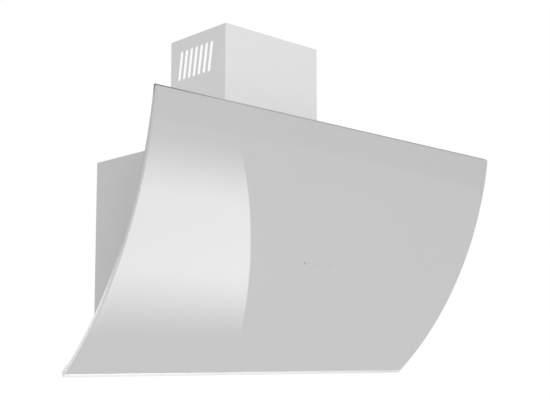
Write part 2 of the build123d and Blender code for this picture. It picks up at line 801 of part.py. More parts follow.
catch_gap = gap_to_circle(tray_back_r - striker_thickness, catch_up)
buffer_thickness = 2.0
buffer_gap = 3.8  # the curved panel comes nearer than this at the buffer's upper rim
catch_length = catch_gap - buffer_thickness - buffer_gap
for side, name in ((-1, "left"), (1, "right")):
    with BuildPart() as catch:
        with BuildSketch(fascia):
            with Locations((side * catch_x, catch_up)):
                RectangleRounded(34, 24, 4)
        extrude(amount=2.5)
        with BuildSketch(fascia):
            with Locations((side * catch_x, catch_up)):
                RectangleRounded(18, 18, 3)
        extrude(amount=catch_length)
    save(catch, f"catch_{name}")

with BuildPart() as catch_buffers:
    with BuildSketch(fascia.offset(catch_length)):
        with Locations((-catch_x, catch_up), (catch_x, catch_up)):
            Circle(8)
    extrude(amount=buffer_thickness)
save(catch_buffers, "catch_buffers")

with BuildPart() as strikers:
    for side in (-1, 1):
        with BuildSketch(Plane.YZ.offset(side * catch_x)):
            add(
                arc_band(
                    tray_back_r,
                    tray_back_r - striker_thickness,
                    catch_slope - striker_half_slope,
                    catch_slope + striker_half_slope,
                )
            )
        extrude(amount=striker_half_width, both=True)
save(strikers, "strikers")

screw_places = [
    (side * hinge_x + x, up) for side in (-1, 1) for x, up in leaf_screws
]
with BuildPart() as hinge_screws:
    with BuildSketch(fascia.offset(leaf_thickness)):
        with Locations(*screw_places):
            Circle(screw_head_r)
    extrude(amount=screw_head_height)
    with BuildSketch(fascia):
        with Locations(*screw_places):
            Circle(screw_shank_r)
    extrude(amount=leaf_thickness)
save(hinge_screws, "hinge_screws")

with BuildPart() as collar_screws:
    with BuildSketch(Plane.XY.offset(body_top_z + collar_flange)):
        with Locations((0, duct_y)):
            with PolarLocations(collar_screw_r, 4, start_angle=45):
                Circle(screw_head_r)
    extrude(amount=screw_head_height)
    with BuildSketch(Plane.XY.offset(body_top_z - sheet)):
        with Locations((0, duct_y)):
            with PolarLocations(collar_screw_r, 4, start_angle=45):
                Circle(screw_shank_r)
    extrude(amount=sheet + collar_flange)
save(collar_screws, "collar_screws")

# ================================================================ glass panel
half_glass = glass_width / 2
touch_slope = slope_at(touch_rise)
touch_half = 25.0 / glass_radius
touch_width = 170.0


def touch_band(outer, inner, share):
    """Band behind the touch keys whose height is this share of the window's."""
    return arc_band(outer, inner, touch_slope - share * touch_half, touch_slope + share * touch_half)


with BuildPart() as front_glass:
    with BuildSketch(Plane.YZ):
        add(arc_band(glass_radius, gasket_r, slope_top, slope_bottom))
    extrude(amount=half_glass, both=True)
    chamfer(front_glass.faces().sort_by(SortBy.AREA)[-1].edges(), glass_arris)
save(front_glass, "front_glass")

gasket_width = 14.0
with BuildPart() as edge_gasket:
    with BuildSketch(Plane.YZ):
        add(arc_band(gasket_r, tray_r, slope_top - gasket_top_lip / glass_radius, slope_bottom))
    extrude(amount=half_glass + gasket_lip, both=True)
    with BuildSketch(Plane.YZ):
        add(
            arc_band(
                gasket_r + 2,
                tray_r - 2,
                slope_top + gasket_width / glass_radius,
                slope_bottom - gasket_width / glass_radius,
            )
        )
    extrude(amount=half_glass - gasket_width, both=True, mode=Mode.SUBTRACT)
save(edge_gasket, "edge_gasket")

# Folded sheet behind the glass: the skin, two curved side flanges and two cross flanges.
flange_depth = 12.0
flange_inset = 22.0
with BuildPart() as panel_tray:
    with BuildSketch(Plane.YZ):
        add(arc_band(tray_r, tray_back_r, slope_top, slope_bottom))
    extrude(amount=half_glass - 1, both=True)
    for side in (-1, 1):
        with BuildSketch(Plane.YZ.offset(side * (half_glass - flange_inset))):
            add(
                arc_band(
                    tray_r - 0.5,
                    tray_back_r - flange_depth,
                    slope_top + flange_inset / glass_radius,
                    slope_bottom - flange_inset / glass_radius,
                )
            )
        extrude(amount=side * sheet)
    for slope in (
        slope_top + flange_inset / glass_radius,
        slope_bottom - flange_inset / glass_radius,
    ):
        with BuildSketch(Plane.YZ):
            add(
                arc_band(
                    tray_r - 0.5,
                    tray_back_r - flange_depth,
                    slope - sheet / 2 / glass_radius,
                    slope + sheet / 2 / glass_radius,
                )
            )
        extrude(amount=half_glass - flange_inset, both=True)
    with BuildSketch(Plane.YZ):
        add(touch_band(tray_r + 2, tray_back_r - 2, 1))
    extrude(amount=touch_width / 2, both=True, mode=Mode.SUBTRACT)
save(panel_tray, "panel_tray")

with BuildPart() as bottom_rail:
    with BuildSketch(Plane.YZ):
        add(
            arc_band(
                glass_radius,
                tray_back_r - rail_leg_thickness,
                slope_bottom,
                slope_bottom + rail_drop / glass_radius,
            )
        )
        add(
            arc_band(
                tray_back_r,
                tray_back_r - rail_leg_thickness,
                slope_bottom - rail_leg / glass_radius,
                slope_bottom + rail_drop / glass_radius,
            )
        )
    extrude(amount=half_glass + gasket_lip, both=True)
save(bottom_rail, "bottom_rail")

touch_board_r = gasket_r - 0.3
with BuildPart() as touch_board:
    with BuildSketch(Plane.YZ):
        add(touch_band(touch_board_r, touch_board_r - board_thickness, 0.7))
    extrude(amount=touch_width / 2 - 8, both=True)
save(touch_board, "touch_board")

# Tub behind the touch board, with a flange on the tray's back.
tub_depth = 12.0
with BuildPart() as touch_housing:
    with BuildSketch(Plane.YZ):
        add(touch_band(touch_board_r - board_thickness, tray_back_r - tub_depth, 0.9))
    extrude(amount=touch_width / 2 - 3, both=True)
    with BuildSketch(Plane.YZ):
        add(touch_band(tray_back_r, tray_back_r - 1.5, 1.3))
    extrude(amount=touch_width / 2 + 7, both=True)
    with BuildSketch(Plane.YZ):
        add(touch_band(gasket_r, tray_back_r - tub_depth + box_wall, 0.75))
    extrude(amount=touch_width / 2 - 6, both=True, mode=Mode.SUBTRACT)
save(touch_housing, "touch_housing")

# ================================================================ grease filters
frame_width = filter_window_width - 2 * filter_gap
frame_height = filter_window_height - 2 * filter_gap
rim = 13.0
mesh_groove = 8.0
mesh_thickness = 5.0
mesh_play = 0.15
pocket_width = frame_width - 2 * rim + 2 * mesh_groove
pocket_height = frame_height - 2 * rim + 2 * mesh_groove
pocket_plane = fascia.offset((mesh_thickness - filter_thickness) / 2)

latch_height = 11.0
latch_half = 19.5
latch_plate = 3.0
latch_play = 0.3
latch_up = filter_centre - frame_height / 2 + 9.0  # the latch at rest, up the fascia's slope
guide_height = latch_height + 5.0  # the latch slides 5 mm up
guide_wall = 3.0
guide_lip = 2.0
guide_up = latch_up + 2.0
guide_web_x = latch_half + latch_play + 0.2 + guide_wall / 2
guide_lip_x = guide_web_x - guide_lip / 2
guide_top = latch_plate + 2 * latch_play + 0.9
for side, name in ((-1, "left"), (1, "right")):
    x = side * filter_window_x
    with BuildPart() as filter_frame:
        with BuildSketch(fascia):
            with Locations((x, filter_centre)):
                RectangleRounded(frame_width, frame_height, 5)
                Rectangle(frame_width - 2 * rim, frame_height - 2 * rim, mode=Mode.SUBTRACT)
        extrude(amount=-filter_thickness)
        with BuildSketch(pocket_plane):
            with Locations((x, filter_centre)):
                Rectangle(pocket_width, pocket_height)
        extrude(amount=-mesh_thickness, mode=Mode.SUBTRACT)
        with BuildSketch(fascia):
            with Locations((x - guide_web_x, guide_up), (x + guide_web_x, guide_up)):
                Rectangle(guide_wall, guide_height)
        extrude(amount=guide_top)
        with BuildSketch(fascia.offset(latch_plate + 2 * latch_play)):
            with Locations((x - guide_lip_x, guide_up), (x + guide_lip_x, guide_up)):
                Rectangle(guide_wall + guide_lip, guide_height)
        extrude(amount=guide_top - latch_plate - 2 * latch_play)
    save(filter_frame, f"filter_frame_{name}")

    with BuildPart() as filter_mesh:
        with BuildSketch(pocket_plane.offset(-mesh_play)):
            with Locations((x, filter_centre)):
                Rectangle(pocket_width - 2 * mesh_play, pocket_height - 2 * mesh_play)
        extrude(amount=2 * mesh_play - mesh_thickness)
    save(filter_mesh, f"filter_mesh_{name}")

    with BuildPart() as filter_latch:
        with BuildSketch(fascia.offset(latch_play)):
            with Locations((x, latch_up)):
                Rectangle(2 * latch_half, latch_height)
        extrude(amount=latch_plate)
        with BuildSketch(fascia.offset(latch_play)):
            with Locations((x, latch_up)):
                RectangleRounded(24, latch_height, 2)
        extrude(amount=7)
        with BuildSketch(fascia.offset(latch_play)):
            with Locations((x, latch_up - latch_height / 2 - 2)):
                Rectangle(14, 6)
        extrude(amount=2)
    save(filter_latch, f"filter_latch_{name}")
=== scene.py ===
import json
from math import asin, atan2, cos, pi, radians, sin, sqrt, tau

import bmesh
import bpy
import numpy as np
from bpy.props import FloatProperty, FloatVectorProperty, IntProperty, PointerProperty
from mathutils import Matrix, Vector


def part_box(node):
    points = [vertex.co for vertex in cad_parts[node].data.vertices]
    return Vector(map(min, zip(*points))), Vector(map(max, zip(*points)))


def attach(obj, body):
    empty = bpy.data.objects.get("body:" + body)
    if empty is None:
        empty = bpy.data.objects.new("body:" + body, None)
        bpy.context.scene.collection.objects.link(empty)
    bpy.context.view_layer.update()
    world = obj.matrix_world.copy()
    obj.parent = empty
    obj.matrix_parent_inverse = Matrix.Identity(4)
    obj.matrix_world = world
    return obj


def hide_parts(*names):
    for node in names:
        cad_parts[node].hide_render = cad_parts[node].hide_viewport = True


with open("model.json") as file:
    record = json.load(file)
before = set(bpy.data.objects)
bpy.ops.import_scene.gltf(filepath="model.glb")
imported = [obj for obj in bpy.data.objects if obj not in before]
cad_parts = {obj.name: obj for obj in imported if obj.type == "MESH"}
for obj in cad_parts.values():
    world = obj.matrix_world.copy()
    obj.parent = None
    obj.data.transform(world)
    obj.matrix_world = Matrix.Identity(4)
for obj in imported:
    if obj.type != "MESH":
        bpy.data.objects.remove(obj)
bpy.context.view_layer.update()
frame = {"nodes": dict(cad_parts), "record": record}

bl_info = {
    "name": "Curved glass range hood",
    "version": (1, 0, 0),
    "blender": (4, 5, 0),
    "location": "View3D > Sidebar > Hood",
    "description": "Dresses the packed hood with its finished pieces and sets up the studio",
    "category": "Object",
}

# The CAD nodes and the record, before anything is added.
cad_nodes = frame["nodes"]
record = frame["record"]
body_of_node = {
    node: body for body, members in record["behaviour"]["bodies"].items() for node in members
}
slot_of_node = {entry["node"]: entry["material_slot"] for entry in record["subparts"]}
joint_place = {
    joint["name"]: joint["pos_m"] for joint in record["behaviour"]["joints"] if "pos_m" in joint
}
mount_place = {mount["name"]: mount["pos_m"] for mount in record["mounts"]}

MM = 0.001

# ------------------------------------------------------------------ the glass's curve
GLASS_RADIUS = 0.740
GLASS_HEIGHT = 0.462
GLASS_TOP_REACH = 0.390
GLASS_BOTTOM_REACH = 0.133
GLASS_BOTTOM_Z = -0.240
GLASS_THICKNESS = 6.0 * MM
GASKET_THICKNESS = 2.0 * MM
GASKET_LIP = 1.5 * MM
GASKET_TOP_LIP = 3.0 * MM
TRAY_THICKNESS = 1.2 * MM
TOUCH_RISE = 0.2084

chord_y = GLASS_BOTTOM_REACH - GLASS_TOP_REACH
half_chord = sqrt(chord_y**2 + GLASS_HEIGHT**2) / 2
chord_rise = sqrt(GLASS_RADIUS**2 - half_chord**2)
arc_y = chord_rise * GLASS_HEIGHT / (2 * half_chord) - (GLASS_TOP_REACH + GLASS_BOTTOM_REACH) / 2
arc_z = GLASS_BOTTOM_Z + GLASS_HEIGHT / 2 - chord_rise * chord_y / (2 * half_chord)
slope_top = atan2(arc_z - GLASS_BOTTOM_Z - GLASS_HEIGHT, arc_y + GLASS_TOP_REACH)
slope_bottom = atan2(arc_z - GLASS_BOTTOM_Z, arc_y + GLASS_BOTTOM_REACH)
glass_length = (slope_bottom - slope_top) * GLASS_RADIUS
half_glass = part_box("front_glass")[1].x

# ------------------------------------------------------------------ the body's sheets
BODY_BOTTOM_DEPTH = 0.118
side_low, side_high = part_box("side_panel_right")
body_top_z = side_high.z
body_bottom_z = side_low.z
body_top_depth = -side_low.y
lean = atan2(body_top_depth - BODY_BOTTOM_DEPTH, body_top_z - body_bottom_z)
CHIMNEY_TOP_Z = 0.453


# ================================================================== sizes and colours
def grey(value):
    """A neutral colour, linear."""
    return (value, value, value)


class HoodGlass(bpy.types.PropertyGroup):
    """The glass and its seal"""

    paint: FloatVectorProperty(
        name="Paint", description="Colour fired on the back of the glass", subtype="COLOR",
        size=3, min=0, max=1, default=(0.508, 0.510, 0.509),
    )
    edge: FloatVectorProperty(
        name="Edge", description="Colour of the polished edge", subtype="COLOR",
        size=3, min=0, max=1, default=(0.70, 0.72, 0.71),
    )
    arris: FloatProperty(
        name="Arris", description="Radius of the ground edge", unit="LENGTH", default=1.0 * MM,
    )
    # Painted shade and light: the seal is this dark grey at the top left corner and is lightened by
    # the three values below.
    seal: FloatVectorProperty(
        name="Seal", description="Colour of the rubber seal at the glass's top left corner",
        subtype="COLOR", size=3, min=0, max=1, default=grey(0.20),
    )
    # Painted shade along the top edge.
    seal_top_shade: FloatProperty(
        name="Seal, top edge", description="Lightness of the seal along the top edge", default=0.42,
    )
    # Painted shade down the sides.
    seal_side_shade: FloatProperty(
        name="Seal, sides", description="Lightness of the seal down the sides", default=0.50,
    )
    # Painted light near the bottom rail.
    seal_foot_light: FloatProperty(
        name="Seal, foot", description="Lightness of the seal near the bottom rail", default=0.90,
    )


class HoodSheets(bpy.types.PropertyGroup):
    """The coated sheets"""

    paint: FloatVectorProperty(
        name="Chimney coat", description="Colour of the chimney's powder coat at its top",
        subtype="COLOR", size=3, min=0, max=1, default=grey(0.785),
    )
    # Painted light: the chimney's coat is lightened to this towards the glass, for light that comes up
    # from below.
    painted_light_at_foot: FloatProperty(
        name="Chimney foot", description="Lightness of the chimney's coat at the glass",
        default=0.868,
    )
    # Painted shade: the body's coat is the chimney's white, darkened for the shade on the body's
    # sides.
    body_shaded_paint: FloatVectorProperty(
        name="Body coat", description="Colour of the body's powder coat", subtype="COLOR",
        size=3, min=0, max=1, default=grey(0.70),
    )


class HoodFilters(bpy.types.PropertyGroup):
    """The grease filters"""

    pitch: FloatProperty(
        name="Mesh pitch", description="Width of one diamond of the filter's mesh",
        unit="LENGTH", default=8.0 * MM,
    )
    layers: IntProperty(name="Layers", description="Layers of mesh in a filter", default=3)


class HoodStage(bpy.types.PropertyGroup):
    """The floor and the lights"""

    floor_z: FloatProperty(
        name="Floor", description="Height of the floor", unit="LENGTH", default=-1.66,
    )
    floor_glow: FloatProperty(
        name="Floor glow", description="Light that the floor adds to what it reflects", default=0.34,
    )
    softbox: FloatProperty(
        name="Softbox", description="Brightness of the light that shows in the glass", default=4.55,
    )
    ambient: FloatProperty(
        name="Ambient", description="Brightness of the light from all round", default=0.56,
    )
    top: FloatProperty(
        name="Top light", description="Power of the light overhead", unit="POWER", default=5.0,
    )
    key: FloatProperty(
        name="Key", description="Power of the large light in front", unit="POWER", default=88.0,
    )


# ================================================================== places
def on_glass(across, along, depth):
    """Points on the glass's curve: across along the wall, along from the top edge down the front
    face, depth inwards. slope = top slope + along / R; y, z = arc centre - (R - depth) (cos, sin)."""
    slope = slope_top + along / GLASS_RADIUS
    reach = GLASS_RADIUS - depth
    return np.stack(
        np.broadcast_arrays(across, arc_y - reach * np.cos(slope), arc_z - reach * np.sin(slope)), -1
    )


def on_fascia(across, up, out):
    """Points at the leaning fascia: across along the wall, up its slope from the top edge, out
    towards the room. y = -depth - up sin(lean) - out cos(lean); z = top + up cos - out sin."""
    return np.stack(
        np.broadcast_arrays(
            across,
            -body_top_depth - up * sin(lean) - out * cos(lean),
            body_top_z + up * cos(lean) - out * sin(lean),
        ),
        -1,
    )


def on_plane(origin, first, second):
    """Returns a place function: origin + a first + b second + c (first x second)."""
    origin, first, second = (np.array(v, float) for v in (origin, first, second))
    third = np.cross(first, second)

    def place(a, b, c):
        a, b, c = np.broadcast_arrays(a, b, c)
        return origin + a[..., None] * first + b[..., None] * second + c[..., None] * third

    return place


def along_at(rise):
    """Arc length from the top edge to the place that lies this far above the bottom edge."""
    return (asin((arc_z - GLASS_BOTTOM_Z - rise) / GLASS_RADIUS) - slope_top) * GLASS_RADIUS


# ================================================================== surfaces
def outline(corners, radius=0.0, inset=0.0, steps=5):
    """Convex outline, anticlockwise, moved inwards by inset. Each corner is an arc about the
    centre that lies radius / sin(half the corner) inwards on its bisector, with the radius less
    the inset; where that is used up, all its points fall on the moved corner."""
    corners = np.array(corners, float)
    before = np.roll(corners, 1, 0) - corners
    after = np.roll(corners, -1, 0) - corners
    before /= np.linalg.norm(before, axis=1)[:, None]
    after /= np.linalg.norm(after, axis=1)[:, None]
    bisector = before + after
    bisector /= np.linalg.norm(bisector, axis=1)[:, None]
    half = np.arccos(np.clip((before * after).sum(1), -1, 1)) / 2
    arc = max(radius - inset, 0.0)
    centre = corners + bisector * ((arc + inset) / np.sin(half))[:, None]
    start = np.stack([-before[:, 1], before[:, 0]], 1)
    turn = pi - 2 * half
    angle = np.linspace(0, 1, steps)[None, :] * turn[:, None]
    spin_x = start[:, :1] * np.cos(angle) - start[:, 1:] * np.sin(angle)
    spin_y = start[:, :1] * np.sin(angle) + start[:, 1:] * np.cos(angle)
    loop = centre[:, None, :] + arc * np.stack([spin_x, spin_y], -1)
    return loop.reshape(-1, 2)


def mm(values):
    """A list of millimetres in metres."""
    return np.array(values, float) * MM


def rectangle(width, height, centre=(0, 0)):
    """Corners of a rectangle, anticlockwise."""
    x, y = centre
    w, h = width / 2, height / 2
    return [(x - w, y - h), (x + w, y - h), (x + w, y + h), (x - w, y + h)]


def circle(radius, sides):
    """Points of a circle, anticlockwise."""
    angle = np.arange(sides) * tau / sides
    return radius * np.stack([np.cos(angle), np.sin(angle)], 1)


def quarter(radius, steps=4):
    """(inset, drop) from a wall's edge round a quarter circle on to its face."""
    angle = np.linspace(0, pi / 2, steps)
    return np.stack([radius * (1 - np.cos(angle)), radius * (1 - np.sin(angle))], 1)


class Skin:
    """Gathers grids of points and flat caps into one closed mesh."""

    def __init__(self):
        self.points = []
        self.faces = []
        self.marks = []
        self.count = 0

    def _keep(self, points):
        points = np.asarray(points, float).reshape(-1, 3)
        first = self.count
        self.points.append(points)
        self.count += len(points)
        return first

    def grid(self, surface, around=False, along=False, mark=0):
        """A surface of (rows, columns, 3) points; along joins the last row to the first, around
        the last column to the first."""
        rows, columns = surface.shape[:2]
        first = self._keep(surface)
        row = np.arange(rows if along else rows - 1)[:, None]
        column = np.arange(columns if around else columns - 1)[None, :]
        next_row = (row + 1) % rows
        next_column = (column + 1) % columns
        quads = np.stack(
            np.broadcast_arrays(
                row * columns + column,
                row * columns + next_column,
                next_row * columns + next_column,
                next_row * columns + column,
            ),
            -1,
        ).reshape(-1, 4)
        self.faces.extend((quads + first).tolist())
        self.marks.extend([mark] * len(quads))
        return self

    def cap(self, loop, mark=0):
        """One flat face on a loop of points."""
        first = self._keep(loop)
        self.faces.append(list(range(first, first + len(loop))))
        self.marks.append(mark)
        return self

    def tube(self, surface, mark=0):
        """A surface whose columns close on themselves, with a flat cap on each end row."""
        self.grid(surface, around=True, mark=mark)
        self.cap(surface[0], mark)
        self.cap(surface[-1], mark)
        return self

    def mesh(self, name, sharp=35):
        """The gathered points as a mesh: doubles merged, faces turned outwards, smooth between
        faces that meet at less than the sharp angle."""
        mesh = bpy.data.meshes.new(name)
        mesh.from_pydata(np.concatenate(self.points), [], self.faces)
        mesh.polygons.foreach_set("material_index", np.array(self.marks, np.int32))
        shell = bmesh.new()
        shell.from_mesh(mesh)
        bmesh.ops.remove_doubles(shell, verts=shell.verts, dist=2e-6)
        bmesh.ops.recalc_face_normals(shell, faces=shell.faces)
        shell.to_mesh(mesh)
        shell.free()
        mesh.shade_smooth()
        mesh.set_sharp_from_angle(angle=radians(sharp))
        mesh.update()
        return mesh


def plate(skin, corners, corner_radius, profile, place, mark=0, steps=5):
    """A flat piece: its outline carried through (inset, height) pairs, capped at both ends."""
    rows = []
    for inset, height in profile:
        loop = outline(corners, corner_radius, inset, steps)
        rows.append(place(loop[:, 0], loop[:, 1], height))
    return skin.tube(np.array(rows), mark)


def lathe(skin, profile, place, sides=48, mark=0, closed=False, ribs=0):
    """A turned piece: (radius, height) pairs carried round a circle; an open profile gets flat
    caps where it doesn't start or end on the axis. With ribs, a third value is how deep the
    surface dips between them: r - d (1 + cos(n a)) / 2."""
    angle = np.arange(sides) * tau / sides
    profile = np.array(profile, float)
    radius, height = profile[:, :1], profile[:, 1:2]
    if ribs:
        radius = radius - profile[:, 2:] * (1 + np.cos(ribs * angle)) / 2
    surface = place(radius * np.cos(angle), radius * np.sin(angle), height + 0 * angle)
    skin.grid(surface, around=True, along=closed, mark=mark)
    if not closed:
        for end in (0, -1):
            if profile[end, 0] > 1e-7:
                skin.cap(surface[end], mark)
    return skin


def frame_bars(skin, width, height, centre, section, place):
    """Four mitred bars round a rectangle: a closed section of (inset, height) pairs is carried
    along each side, and each end is cut where the inset outlines' corners lie, less a gap."""
    gap = 0.1 * MM
    section = np.array(section, float)
    inset, out = section[:, 0], section[:, 1]
    turns = ((1, 0), (0, 1), (-1, 0), (0, -1))
    for turn_x, turn_y in turns:
        run = (width if turn_x else height) / 2 - inset - gap
        away = (height if turn_x else width) / 2 - inset
        rows = []
        for end in (-1, 1):
            x = centre[0] + end * run * turn_x + away * turn_y
            y = centre[1] + end * run * turn_y - away * turn_x
            rows.append(place(x, y, out))
        skin.tube(np.array(rows))
    return skin


def ribbon(skin, path, width, place, low, high, closed=False):
    """A flat line of that width drawn along 2-D points and raised from low to high. Each point
    moves half the width to either side, square to the run from its neighbour before to the one
    after."""
    path = np.array(path, float)
    if closed:
        run = np.roll(path, -1, 0) - np.roll(path, 1, 0)
    else:
        run = np.gradient(path, axis=0)
    run /= np.linalg.norm(run, axis=1)[:, None]
    side = np.stack([-run[:, 1], run[:, 0]], 1) * width / 2
    left, right = path + side, path - side
    surface = np.stack(
        [
            place(left[:, 0], left[:, 1], low),
            place(right[:, 0], right[:, 1], low),
            place(right[:, 0], right[:, 1], high),
            place(left[:, 0], left[:, 1], high),
        ],
        1,
    )
    if closed:
        return skin.grid(surface, around=True, along=True)
    return skin.tube(surface)


def rounded(corners):
    """Points of a section whose corners are (place, radius) pairs. Round a corner they are
    place + before r (1 - sin t) + after r (1 - cos t), with t from 0 to a quarter turn."""
    section = []
    for index, (corner, radius) in enumerate(corners):
        corner = np.array(corner)
        before = np.array(corners[index - 1][0]) - corner
        after = np.array(corners[(index + 1) % len(corners)][0]) - corner
        before /= np.linalg.norm(before)
        after /= np.linalg.norm(after)
        for turn in np.linspace(0, pi / 2, 4 if radius else 1):
            section.append(
                corner + before * radius * (1 - sin(turn)) + after * radius * (1 - cos(turn))
            )
    return np.array(section)


def drawn(skin, section, low, high, place):
    """A section drawn from low to high: place(a, b, height). Its two ends are a little smaller,
    all their points moved towards the section's middle by one share."""
    edge = 0.3 * MM
    middle = section.mean(0)
    away = section - middle
    shrink = 1 - edge / np.abs(away).max()
    rows = []
    for height, scale in ((low, shrink), (low + edge, 1.0), (high - edge, 1.0), (high, shrink)):
        shape = middle + away * scale
        rows.append(place(shape[:, 0], shape[:, 1], np.full(len(shape), height)))
    return skin.tube(np.array(rows))


def screw(skin, place, radius, head, shank_radius, shank, mark=0):
    """A pan-head screw at place(0, 0, 0). With s = r / R its head's height is
    h (0.5 + 0.5 sqrt(1 - s^2)) - 0.6 h cross. The cross is 1 where |x| or |y| is under 0.12 R
    and s is under 0.54, and falls to 0 over the next 0.08 R and 0.1 of s."""
    share = np.array([0.0, 0.12, 0.24, 0.36, 0.48, 0.56, 0.64, 0.76, 0.88, 0.96, 1.0])[:, None]
    angle = np.arange(32) * tau / 32
    x, y = share * np.cos(angle), share * np.sin(angle)
    arm = np.clip((0.20 - np.minimum(np.abs(x), np.abs(y))) / 0.08, 0, 1)
    cross = arm * np.clip((0.64 - share) / 0.1, 0, 1)
    height = head * (0.5 + 0.5 * np.sqrt(1 - share**2) - 0.6 * cross)
    top = place(x * radius, y * radius, height)
    below = [(radius, 0), (shank_radius, 0), (shank_radius, -shank), (0, -shank)]
    reach, level = np.array(below, float).T[:, :, None]
    shank_rows = place(reach * np.cos(angle), reach * np.sin(angle), level)
    return skin.grid(np.concatenate([top, shank_rows]), around=True, mark=mark)


def bar(skin, start, stop, radius, place, mark=0):
    """A bar between two 3-D points in a place function's own terms, its ends drawn in to a
    share of its radius."""
    sides, end_share = 8, 0.6
    start, stop = np.array(start, float), np.array(stop, float)
    run = stop - start
    length = np.linalg.norm(run)
    run /= length
    askew = (0.31, 0.82, 0.47)  # any direction that no bar has
    side = np.cross(run, askew)
    side /= np.linalg.norm(side)
    other = np.cross(run, side)
    angle = np.arange(sides) * tau / sides
    rows = []
    taper = (1 - end_share) * radius
    for reach, width in ((0, end_share), (taper, 1.0), (length - taper, 1.0), (length, end_share)):
        ring = (
            start + run * reach
            + radius * width * (np.cos(angle)[:, None] * side + np.sin(angle)[:, None] * other)
        )
        rows.append(place(ring[:, 0], ring[:, 1], ring[:, 2]))
    return skin.tube(np.array(rows), mark)


# ================================================================== pieces and finishes
finishes = {}


def add_piece(name, mesh, materials, body, replaced=(), slot=None):
    """Puts a finished mesh on its body in place of the CAD nodes that it stands for."""
    piece = bpy.data.objects.new(name, mesh)
    bpy.context.scene.collection.objects.link(piece)
    for material in materials:
        mesh.materials.append(finishes[material])
    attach(piece, body)
    if replaced:
        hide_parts(*replaced)
    slot or slot_of_node[replaced[0]]
    return piece


def softened(node, material, width):
    """Stands for a CAD node with a copy of it: its triangles merged, its flat faces made whole
    and its sharp edges rounded by the width."""
    sharp = radians(32)
    shell = bmesh.new()
    shell.from_mesh(cad_nodes[node].data)
    bmesh.ops.remove_doubles(shell, verts=shell.verts, dist=1e-6)
    bmesh.ops.dissolve_limit(
        shell, angle_limit=radians(0.4), verts=shell.verts, edges=shell.edges
    )
    mesh = bpy.data.meshes.new(f"{node}_finished")
    shell.to_mesh(mesh)
    shell.free()
    mesh.shade_smooth()
    mesh.set_sharp_from_angle(angle=sharp)
    piece = add_piece(f"{node}_finished", mesh, [material], body_of_node[node], [node])
    bevel = piece.modifiers.new("Edges", "BEVEL")
    bevel.width = width
    bevel.segments = 2
    bevel.limit_method = "ANGLE"
    bevel.angle_limit = sharp
    bevel.harden_normals = True
    return piece


NOISE_SPAN = (0.3, 0.7)  # most of a noise's values lie between these


class Finish:
    """A procedural material: one Principled shader with noise on Object coordinates."""

    def __init__(self, name, colour, metallic=0.0, roughness=0.5):
        self.material = bpy.data.materials.new(name)
        self.material.use_nodes = True
        self.tree = self.material.node_tree
        self.shader = self.tree.nodes["Principled BSDF"]
        self.colour = tuple(colour)
        self.shader.inputs["Base Color"].default_value = (*colour, 1)
        self.shader.inputs["Metallic"].default_value = metallic
        self.shader.inputs["Roughness"].default_value = roughness
        self.coordinates = self.tree.nodes.new("ShaderNodeTexCoord")
        finishes[name] = self.material

    def set(self, **sockets):
        """Sets the shader's own sockets; an underscore stands for a blank."""
        for name, value in sockets.items():
            self.shader.inputs[name.replace("_", " ")].default_value = value
        return self

    def mapped(self, stretch=(1, 1, 1)):
        """Object coordinates, stretched along each axis."""
        mapping = self.tree.nodes.new("ShaderNodeMapping")
        mapping.inputs["Scale"].default_value = stretch
        self.tree.links.new(self.coordinates.outputs["Object"], mapping.inputs["Vector"])
        return mapping.outputs["Vector"]

    def noise(self, scale, detail=3.0, stretch=(1, 1, 1)):
        """A cloud of values between 0 and 1; scale is in lumps to the metre."""
        node = self.tree.nodes.new("ShaderNodeTexNoise")
        node.inputs["Scale"].default_value = scale
        node.inputs["Detail"].default_value = detail
        self.tree.links.new(self.mapped(stretch), node.inputs["Vector"])
        return node.outputs["Fac"]

    def cells(self, scale, feature="F1"):
        """Values of a field of cells; scale is in cells to the metre."""
        node = self.tree.nodes.new("ShaderNodeTexVoronoi")
        node.feature = feature
        node.inputs["Scale"].default_value = scale
        self.tree.links.new(self.mapped(), node.inputs["Vector"])
        return node.outputs["Color" if feature == "F1" else "Distance"]

    def ramp(self, value, start, stop, low=0.0, high=1.0):
        """Turns a value that runs from start to stop into one from low to high, and holds it
        there outside them."""
        node = self.tree.nodes.new("ShaderNodeMapRange")
        node.inputs["From Min"].default_value = start
        node.inputs["From Max"].default_value = stop
        node.inputs["To Min"].default_value = low
        node.inputs["To Max"].default_value = high
        self.tree.links.new(value, node.inputs["Value"])
        return node.outputs["Result"]

    def mix(self, factor):
        """A mix of two colours that takes over the base colour; returns its inputs."""
        node = self.tree.nodes.new("ShaderNodeMix")
        node.data_type = "RGBA"
        self.tree.links.new(factor, node.inputs["Factor"])
        self.tree.links.new(node.outputs["Result"], self.shader.inputs["Base Color"])
        return node.inputs

    def tint(self, value, spread):
        """Lets the colour wander by the share spread to either side of its own."""
        colours = self.mix(self.ramp(value, *NOISE_SPAN))
        colours["A"].default_value = (*[c * (1 - spread) for c in self.colour], 1)
        colours["B"].default_value = (*[min(c * (1 + spread), 1) for c in self.colour], 1)
        return self

    def lighten(self, axis, start, stop, light):
        """Mixes the colour, once tinted, towards a light grey along an axis, from start to stop; its
        uses paint light and shade into colours.
        """
        split = self.tree.nodes.new("ShaderNodeSeparateXYZ")
        self.tree.links.new(self.coordinates.outputs["Object"], split.inputs["Vector"])
        before = self.shader.inputs["Base Color"].links[0].from_socket
        colours = self.mix(self.ramp(split.outputs[axis], start, stop))
        self.tree.links.new(before, colours["A"])
        colours["B"].default_value = (*grey(light), 1)
        return self

    def polish(self, value, low, high):
        """Lets the roughness wander between low and high."""
        rough = self.ramp(value, *NOISE_SPAN, low, high)
        self.tree.links.new(rough, self.shader.inputs["Roughness"])
        return self

    def relief(self, value, depth, strength=1.0):
        """Raises the surface by up to depth metres."""
        bump = self.tree.nodes.new("ShaderNodeBump")
        bump.inputs["Distance"].default_value = depth
        bump.inputs["Strength"].default_value = strength
        self.tree.links.new(value, bump.inputs["Height"])
        self.tree.links.new(bump.outputs["Normal"], self.shader.inputs["Normal"])
        return self


